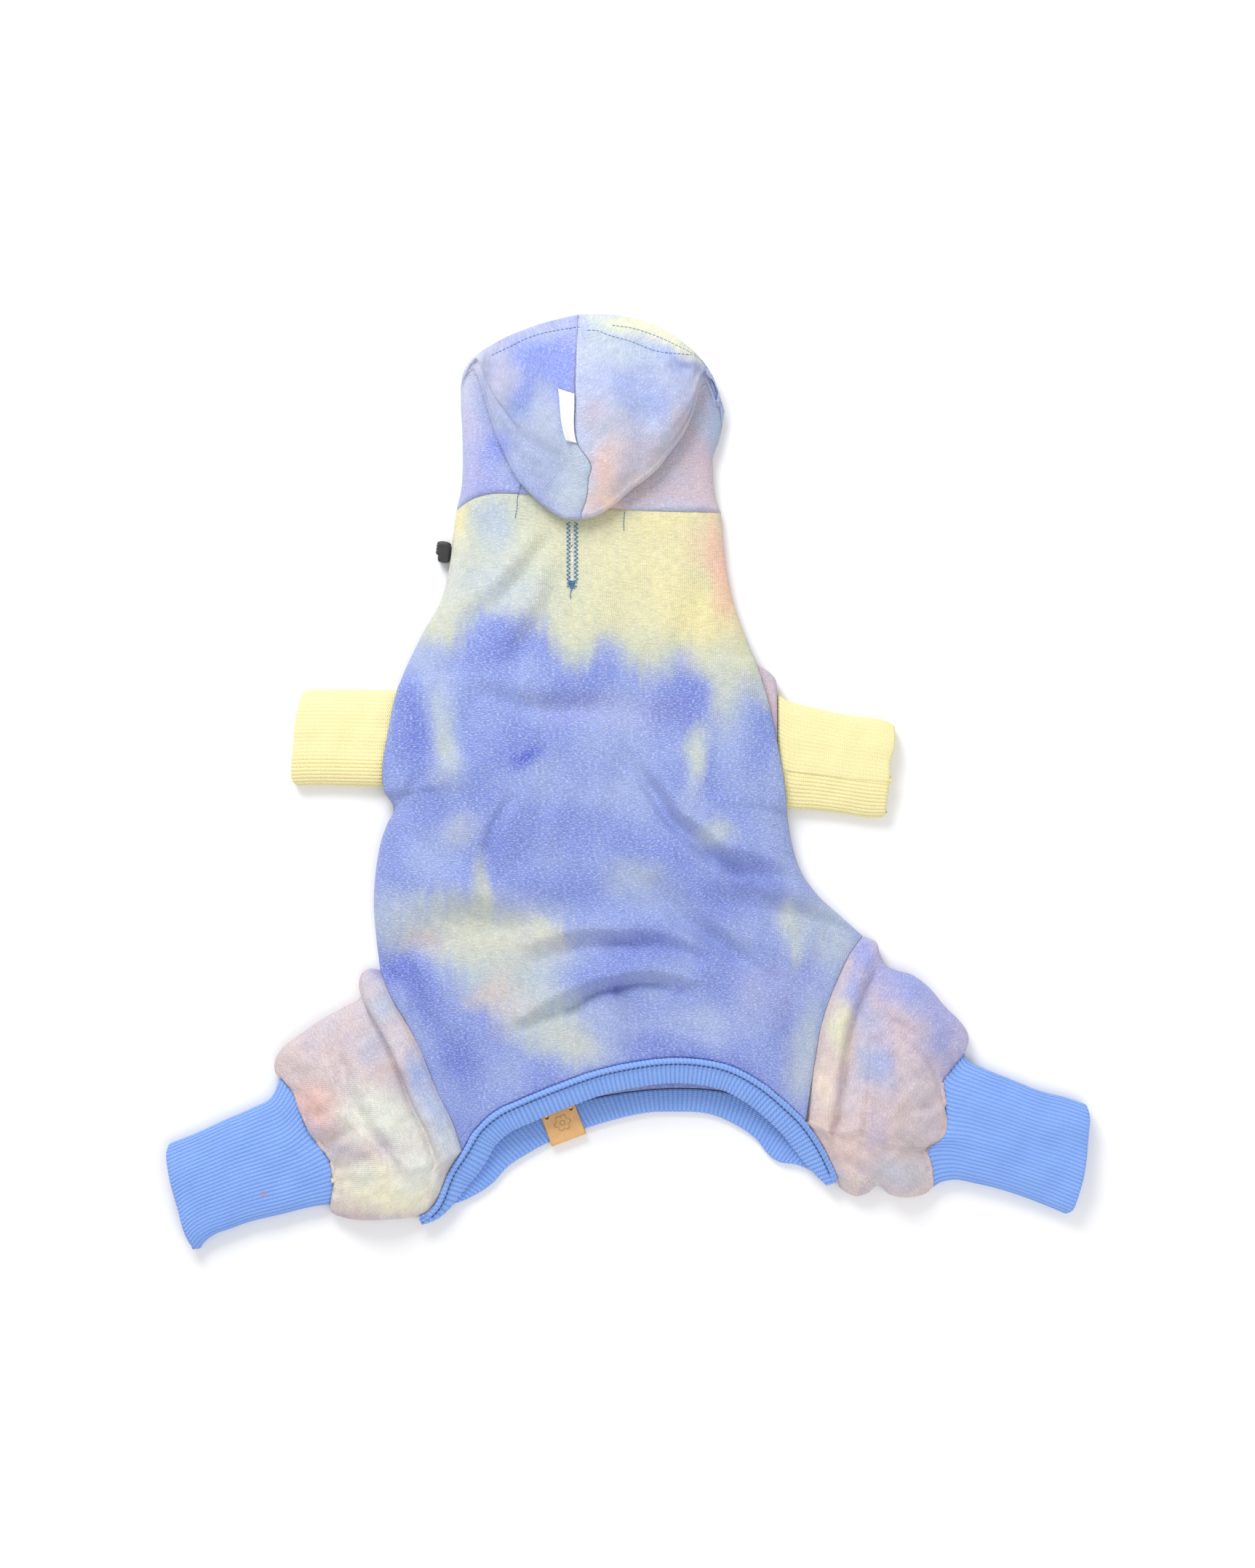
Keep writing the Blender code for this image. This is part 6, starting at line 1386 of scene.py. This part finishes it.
blue_rib = rib_material("blue_rib", RIB_BLUE, RIB_BLUE_GROOVE_SHADE, CUFF_STAIN)
for side in ("left", "right"):
    shape = LEG_SHAPES[side]
    inner_front, inner_rear = leg_end(side)
    middle = (inner_front + inner_rear) / 2 + REAR_CUFF_LENGTH * heading(shape["cuff_heading"])
    half = REAR_CUFF_WIDTH / 2 * heading(shape["end_heading"])
    share, over, ribs = rib_ring(REAR_CUFF_WIDTH, REAR_CUFF_HEIGHT)
    along = np.linspace(0.0, 0.975, 36)
    cuff_grid = tube_grid(bow(inner_front, inner_rear, shape["cuff_line"], share),
                          bow(middle - half, middle + half, shape["cuff_end"], share),
                          bow(inner_front, middle - half, shape["cuff_front"], along),
                          bow(inner_rear, middle + half, shape["cuff_rear"], along),
                          share, over, along, REAR_CUFF_HEIGHT)
    cuff_grid = settled(cuff_grid, share, over, along, 0.0006, 24, 91, 0.001)
    cuff_grid = turned_under(cuff_grid, CUFF_FOLD_RADIUS, CUFF_TURN_IN, True, side == "right")
    cuff_grid, groove = ribbed(cuff_grid, ribs, RIB_DEPTH, True, side == "right")
    # The cuff's grooves get painted shade
    cuff = cloth("rear_cuff_rib_" + side, cuff_grid, RIB_WALL, blue_rib, ring=True, turned=side == "right",
                 marks={"groove": groove[None]})
    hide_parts("rear_cuff_" + side)

# ---- Rump bands
# A doubled band of the blue rib is sewn round the rump opening, its ribs square to the edge. Piping of
# the same rib covers its seam on the back.
BELLY_EDGE = ((0.04, 0.003), (0.092, 0.022), (0.131, 0.036), (0.192, 0.069), (0.232, 0.106), (0.276, 0.131),
              (0.332, 0.156), (0.42, 0.182), (0.56, 0.207), (0.63, 0.205), (0.707, 0.194), (0.766, 0.165),
              (0.811, 0.129), (0.838, 0.090), (0.862, 0.071), (0.904, 0.060), (0.938, 0.042), (0.997, 0.004))
BAND_WIDTHS = ((0, 0.15), (0.05, 0.45), (0.12, 0.95), (0.2, 1.0), (0.5, 1.0), (0.8, 1.0), (0.92, 0.95),
               (0.97, 0.60), (1, 0.25))
BAND_SPAN = (0.015, 0.985)
BELLY_BAND_SPAN = (0.06, 0.94)
BAND_WIDTH = 0.0135
BAND_DROP = 0.006
BAND_RIB_DEPTH = 0.0005
BAND_FOLD_RADIUS = 0.0019
BAND_TURN_IN = 0.005
BACK_BAND_RIBS = 112
BELLY_BAND_RIBS = 92
PIPING_RADIUS = 0.0021
PIPING_CORDS = 130
PIPING_STITCH_PITCH = 0.0029
PIPING_THREAD = 0.00035
NAVY = (40, 62, 120)


def belly_edge(at):
    """Free edge of the belly's band, from left to right."""
    return bow(TIP_LEFT, TIP_RIGHT, BELLY_EDGE, at)


def left_of(curve):
    """Unit steps to the left of a plan curve's heading."""
    step = unit(np.gradient(curve, axis=0))
    return np.stack([-step[:, 1], step[:, 0]], axis=1)


def band_grid(outer, inner, outer_height, inner_height, puff):
    """Band between two edge curves, arched by puff over its width, its free edge turned under."""
    t = np.linspace(0, 1, 12)[:, None, None]
    plan = (1 - t) * outer[None] + t * inner[None]
    t = t[..., 0]
    height = (1 - t) * outer_height[None] + t * inner_height[None] + puff * np.sin(np.pi * t) ** 0.8
    return turned_under(raised(plan, height), BAND_FOLD_RADIUS, BAND_TURN_IN)


def rump_seam_height(at):
    """Height of the rump seam on the back."""
    return RUMP_HEIGHT * column(RUMP_HEIGHTS, at)


at = np.linspace(*BAND_SPAN, 8 * BACK_BAND_RIBS + 1)
seam = rump_arc(at)
inwards = -left_of(seam)
width = column(BAND_WIDTHS, at)
outer = seam + (2 * PIPING_RADIUS - 0.0004) * inwards
inner = outer + (BAND_WIDTH * width - BAND_FOLD_RADIUS)[:, None] * inwards
height = rump_seam_height(at) + 0.4 * PIPING_RADIUS
band = band_grid(outer, inner, height - 0.0006, height - BAND_DROP * width, 0.0009)
band, groove = ribbed(band, BACK_BAND_RIBS, BAND_RIB_DEPTH, False)
# The band's grooves get painted shade, as on the cuffs
back_band = cloth("rump_band_rib_back", band, RIB_WALL, blue_rib, marks={"groove": groove[None]})
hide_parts("rump_band_back")

at = np.linspace(*BELLY_BAND_SPAN, 8 * BELLY_BAND_RIBS + 1)
outer = belly_seam(at)
edge = belly_edge(at)
level = np.full(len(at), BELLY_BAND_LIFT + RIB_KNIT)
band = band_grid(outer - 0.0005 * left_of(outer), edge + BAND_FOLD_RADIUS * left_of(edge), level - 0.0004,
                 level - 0.0003, 0.0006)
band, groove = ribbed(band, BELLY_BAND_RIBS, BAND_RIB_DEPTH, False)
# The band's grooves get painted shade, as on the cuffs
belly_band = cloth("rump_band_rib_belly", band, RIB_WALL, blue_rib, marks={"groove": groove[None]})
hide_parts("rump_band_belly")

# Piping: a round strip whose girth and grooves wind round it, eight points to a turn, thin at both ends
at = np.linspace(*BAND_SPAN, 8 * PIPING_CORDS + 1)
seam = rump_arc(at)
inwards = -left_of(seam)
centre = raised(seam + PIPING_RADIUS * inwards, rump_seam_height(at))
angle = np.arange(16) * np.pi / 8
crest = 0.5 + 0.5 * np.cos(2 * np.pi * np.arange(len(at))[:, None] / 8 + angle[None, :])
ends = np.clip(np.minimum(at - 0.013, 0.987 - at) / 0.006, 0.3, 1)
fullness = PIPING_RADIUS * (1 + 0.05 * drift(1000 * centre[:, 0], 1000 * centre[:, 1], 9, 7)) * ends
ring = np.cos(angle)[None, :, None] * raised(inwards, 0.0)[:, None]
ring = ring + np.sin(angle)[None, :, None] * np.array([0.0, 0.0, 1.0])
piping_grid = centre[:, None] + (fullness[:, None] * (0.91 + 0.09 * crest))[..., None] * ring
# The grooves winding round the piping get painted shade
piping = cloth("piping_rib", piping_grid, 0.0, blue_rib, ring=True, turned=True,
               marks={"groove": 0.55 * (1 - crest)})
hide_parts("band_piping")
navy_thread = thread_material("navy_thread", NAVY)
stitch_line = raised(seam + 0.0041 * inwards, rump_seam_height(at) + 0.0012)
piping_stitches = stitches("piping_stitches", stitch_line[20:-20], PIPING_STITCH_PITCH, navy_thread,
                           PIPING_THREAD)

# ---- Leather label
# A small leather label folded over the free edge of the belly's band, sewn on through two small holes.
# A plain pressed flower stands on its upper leaf.
LABEL_WIDTH = 0.0225
LABEL_REACH = 0.0185
LABEL_CORNER = 0.0022
LEATHER = 0.0014
TAN = (240, 190, 128)
TAN_PRESSED_AND_HOLE_SHADE = (140, 88, 44)
LABEL_THREAD = 0.00032
LABEL_STITCH = 0.0052
THREAD_YELLOW = (236, 222, 170)
# The flower's middle, as a share of the reach, and the holes' places from it, in mm
FLOWER_SHARE = 0.47
HOLE_ASIDE, HOLE_INWARDS = 8.0, 6.2


def leather_material():
    """Vegetable tanned leather: fine grain, darker in the flower's lines and along the edges, and dark in the
    holes as painted shade.
    """
    leather = Finish("tan_leather", 0.48, 0.0, 0.45)
    place = leather.place()
    grain = leather.node("ShaderNodeTexVoronoi", {"Vector": place, "Scale": 2600.0})["Distance"]
    cloud = leather.noise(place, 180.0, 5.0)
    spots = leather.noise(place, 1600.0, 2.0)
    dark = leather.math("MULTIPLY_ADD", leather.mark("pressed_and_hole_shade"), 0.85, -0.12)
    dark = leather.math("MULTIPLY_ADD", cloud, 0.45, dark)
    dark = leather.math("MULTIPLY_ADD", spots, 0.25, dark)
    return leather.finished(leather.ramp(dark, linear(TAN), linear(TAN_PRESSED_AND_HOLE_SHADE)), grain, 0.00012, 0.5)


# Two leaves joined by a half round: rows run from the upper leaf's end round the band's edge to the lower
# leaf, columns from side to side, drawn in at the rounded corners. The flower is sunk where the distance
# from its middle is near that of a line of six petals or of a small ring.
label_at = station_at(BELLY_EDGE, 0.3765)
label_edge = belly_edge(np.array([label_at - 0.02, label_at, label_at + 0.02]))
label_along = unit(label_edge[2] - label_edge[0])
label_inwards = np.array([-label_along[1], label_along[0]])
top = BELLY_BAND_LIFT + RIB_KNIT + 0.0006 + LEATHER
bottom = BELLY_BAND_LIFT - 0.0003 - LEATHER
radius = (top - bottom) / 2
leaf = np.linspace(LABEL_REACH, 0, 56)[:-1]
angle = np.linspace(np.pi / 2, 3 * np.pi / 2, 13)
lower = np.linspace(0, 0.95 * LABEL_REACH, 12)[1:]
reach = np.concatenate([leaf, -0.0003 + radius * np.cos(angle), lower])
level = np.concatenate([top + 0 * leaf, bottom + radius + radius * np.sin(angle), bottom + 0 * lower])
across = np.linspace(-0.5, 0.5, 71)
inside = LABEL_CORNER - np.minimum(np.abs(LABEL_REACH - reach), LABEL_CORNER)
narrowed = 1 - 2 * (LABEL_CORNER - np.sqrt(np.maximum(LABEL_CORNER**2 - inside**2, 0))) / LABEL_WIDTH
narrowed = np.where(np.arange(len(reach)) < len(leaf) + 6, narrowed, 1.0)
offset = across[None, :] * LABEL_WIDTH * narrowed[:, None]
plan = label_edge[1] + reach[:, None, None] * label_inwards + offset[..., None] * label_along
dx, dy = offset * 1000, (reach[:, None] - LABEL_REACH * FLOWER_SHARE) * 1000
radial = np.hypot(dx, dy)
turn = np.arctan2(dy, dx)
petal = 3.3 + 1.9 * np.abs(np.cos(3 * turn)) ** 0.8
flower = np.exp(-((radial - petal) / 0.34) ** 2) + np.exp(-((radial - 1.5) / 0.32) ** 2)
holes = 0 * radial
for sign in (-1, 1):
    holes = holes + smooth_step((1.15 - np.hypot(dx - sign * HOLE_ASIDE, dy - HOLE_INWARDS)) / 0.35)
edge_line = smooth_step((0.7 - (0.5 - np.abs(across[None, :])) * LABEL_WIDTH * 1000) / 0.7) * 0.35
on_leaf = (np.arange(len(reach)) < len(leaf))[:, None]
# The flower's lines and the edges are darker leather; the holes are painted dark as shade inside them
pressed_and_hole_shade = np.clip((flower * 0.55 + holes * 1.4) * on_leaf + edge_line, 0, 1)
label_z = level[:, None] - 0.00028 * flower * on_leaf - 0.0009 * np.clip(holes, 0, 1) * on_leaf
label = cloth("label_leather", raised(plan, label_z), LEATHER, leather_material(), marks={"pressed_and_hole_shade": pressed_and_hole_shade})
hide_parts("leather_label")
yellow_thread = thread_material("yellow_thread", THREAD_YELLOW)
hole_reach = LABEL_REACH * FLOWER_SHARE + HOLE_INWARDS / 1000
for sign, name in ((-1, "left"), (1, "right")):
    hole = label_edge[1] + hole_reach * label_inwards + sign * HOLE_ASIDE / 1000 * label_along
    sewn = hole + LABEL_STITCH * label_inwards
    start = np.array([np.append(hole + k * 0.0004 * label_along, top + 0.0001) for k in (-1, 0, 1)])
    end = np.array([np.append(sewn + k * 0.0007 * label_along, BELLY_BAND_LIFT + RIB_KNIT + 0.0004)
                    for k in (-1, 0, 1)])
    held = strands("label_thread_" + name, start, end, LABEL_THREAD, yellow_thread, 0.0008)

# ---- Hood tag
# A tag of white woven tape, folded double and caught in the hood's centre seam by one long side. Its far
# edge stands a little up.
TAG_LENGTH = 0.0300
TAG_WIDTHS = (0.0098, 0.0058)
TAG_FRONT = 0.572 * HOOD_LENGTH
TAG_LIFT = 0.0016
SEAM_ROWS = slice(58, 153)
TAPE = 0.0008
TAPE_WHITE = (246, 246, 246)
TAPE_SHADE = (226, 226, 224)

# A strip that follows the seam, narrower towards the back; its rise grows with the square of the distance
top_rows = hood_grids["left"][SEAM_ROWS, 0]
lengthwise = np.linspace(0, 1, 61)[:, None]
across = np.linspace(0, 1, 25)
tag_forward = np.linspace(TAG_FRONT, TAG_FRONT - TAG_LENGTH, 61)[:, None]
seam_x = np.interp(tag_forward, top_rows[:, 1], top_rows[:, 0])
seam_z = np.interp(tag_forward, top_rows[:, 1], top_rows[:, 2])
tag_x = seam_x - 0.0004 - across * np.interp(lengthwise, (0, 1), TAG_WIDTHS)
tag_y = tag_forward + 0.0030 * across * (1 - 0.6 * lengthwise)
tag_z = seam_z + TAG_LIFT + (0.0012 + 0.0022 * lengthwise) * across**2
tape = Finish("white_tape", 0.7, 0.1, 0.3)
twill = tape.node("ShaderNodeTexWave", {"Vector": tape.weave(), "Scale": 900.0, "Distortion": 0.6, "Detail": 1.0},
                  wave_type="BANDS", bands_direction="DIAGONAL")["Fac"]
white = tape.ramp(twill, linear(TAPE_SHADE), linear(TAPE_WHITE))
tag = cloth("tag_tape", np.stack([tag_x, tag_y, tag_z], axis=2), TAPE, tape.finished(white, twill, 0.0001, 0.5),
            turned=True)
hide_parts("hood_tag")

# ---- Cord toggle
# A moulded toggle of black plastic, with a wide head and a narrower foot. It sits on the cord of the neck
# and lies against the left side seam.
TOGGLE_LENGTH = 0.0135
TOGGLE_WIDTH = 0.0088
TOGGLE_HEIGHT = 0.0085
TOGGLE_GAP = 0.0006
FOOT_NARROWER = 0.17
# Colours of the plastic as linear shares
BLACK = (0.018, 0.018, 0.019)
BLACK_GRIT = (0.035, 0.035, 0.037)

# Rings along the toggle: rounded squares, drawn in at both ends, shallow grooves on the head, a narrower foot
toggle_place = side_curve("left", np.array([0.078, 0.088, 0.098]))
down = unit(toggle_place[2] - toggle_place[0])
out = np.array([down[1], -down[0]])
along = np.sin(np.linspace(-np.pi / 2, np.pi / 2, 61))
end_round = np.sqrt(np.clip(1 - along**10, 0, 1))
foot = FOOT_NARROWER * smooth_step((along - 0.22) / 0.14)
half_width = TOGGLE_WIDTH / 2 * (1 - foot) * end_round + 0.00016 * np.sin(along * 22) * (along < 0.2)
angle = np.linspace(0, 2 * np.pi, 49)[:-1]
square = (np.abs(np.cos(angle)) ** 5 + np.abs(np.sin(angle)) ** 5) ** (-0.2)
middle = TOGGLE_GAP + TOGGLE_WIDTH / 2 * (1 - foot)
reach = middle[:, None] + half_width[:, None] * (square * np.cos(angle))[None]
rise = TOGGLE_HEIGHT / 2 * (1 + end_round[:, None] * (square * np.sin(angle))[None])
plan = toggle_place[1] + reach[..., None] * out + (along * TOGGLE_LENGTH / 2)[:, None, None] * down
plastic = Finish("black_plastic", 0.42, 0.0, 0.5)
grit = plastic.noise(plastic.place(), 2400.0, 2.0)
black_plastic = plastic.finished(plastic.ramp(grit, BLACK, BLACK_GRIT), grit, 0.00005, 0.4)
toggle = cloth("toggle_plastic", raised(plan, rise), 0.0, black_plastic, ring=True)
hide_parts("cord_toggle")
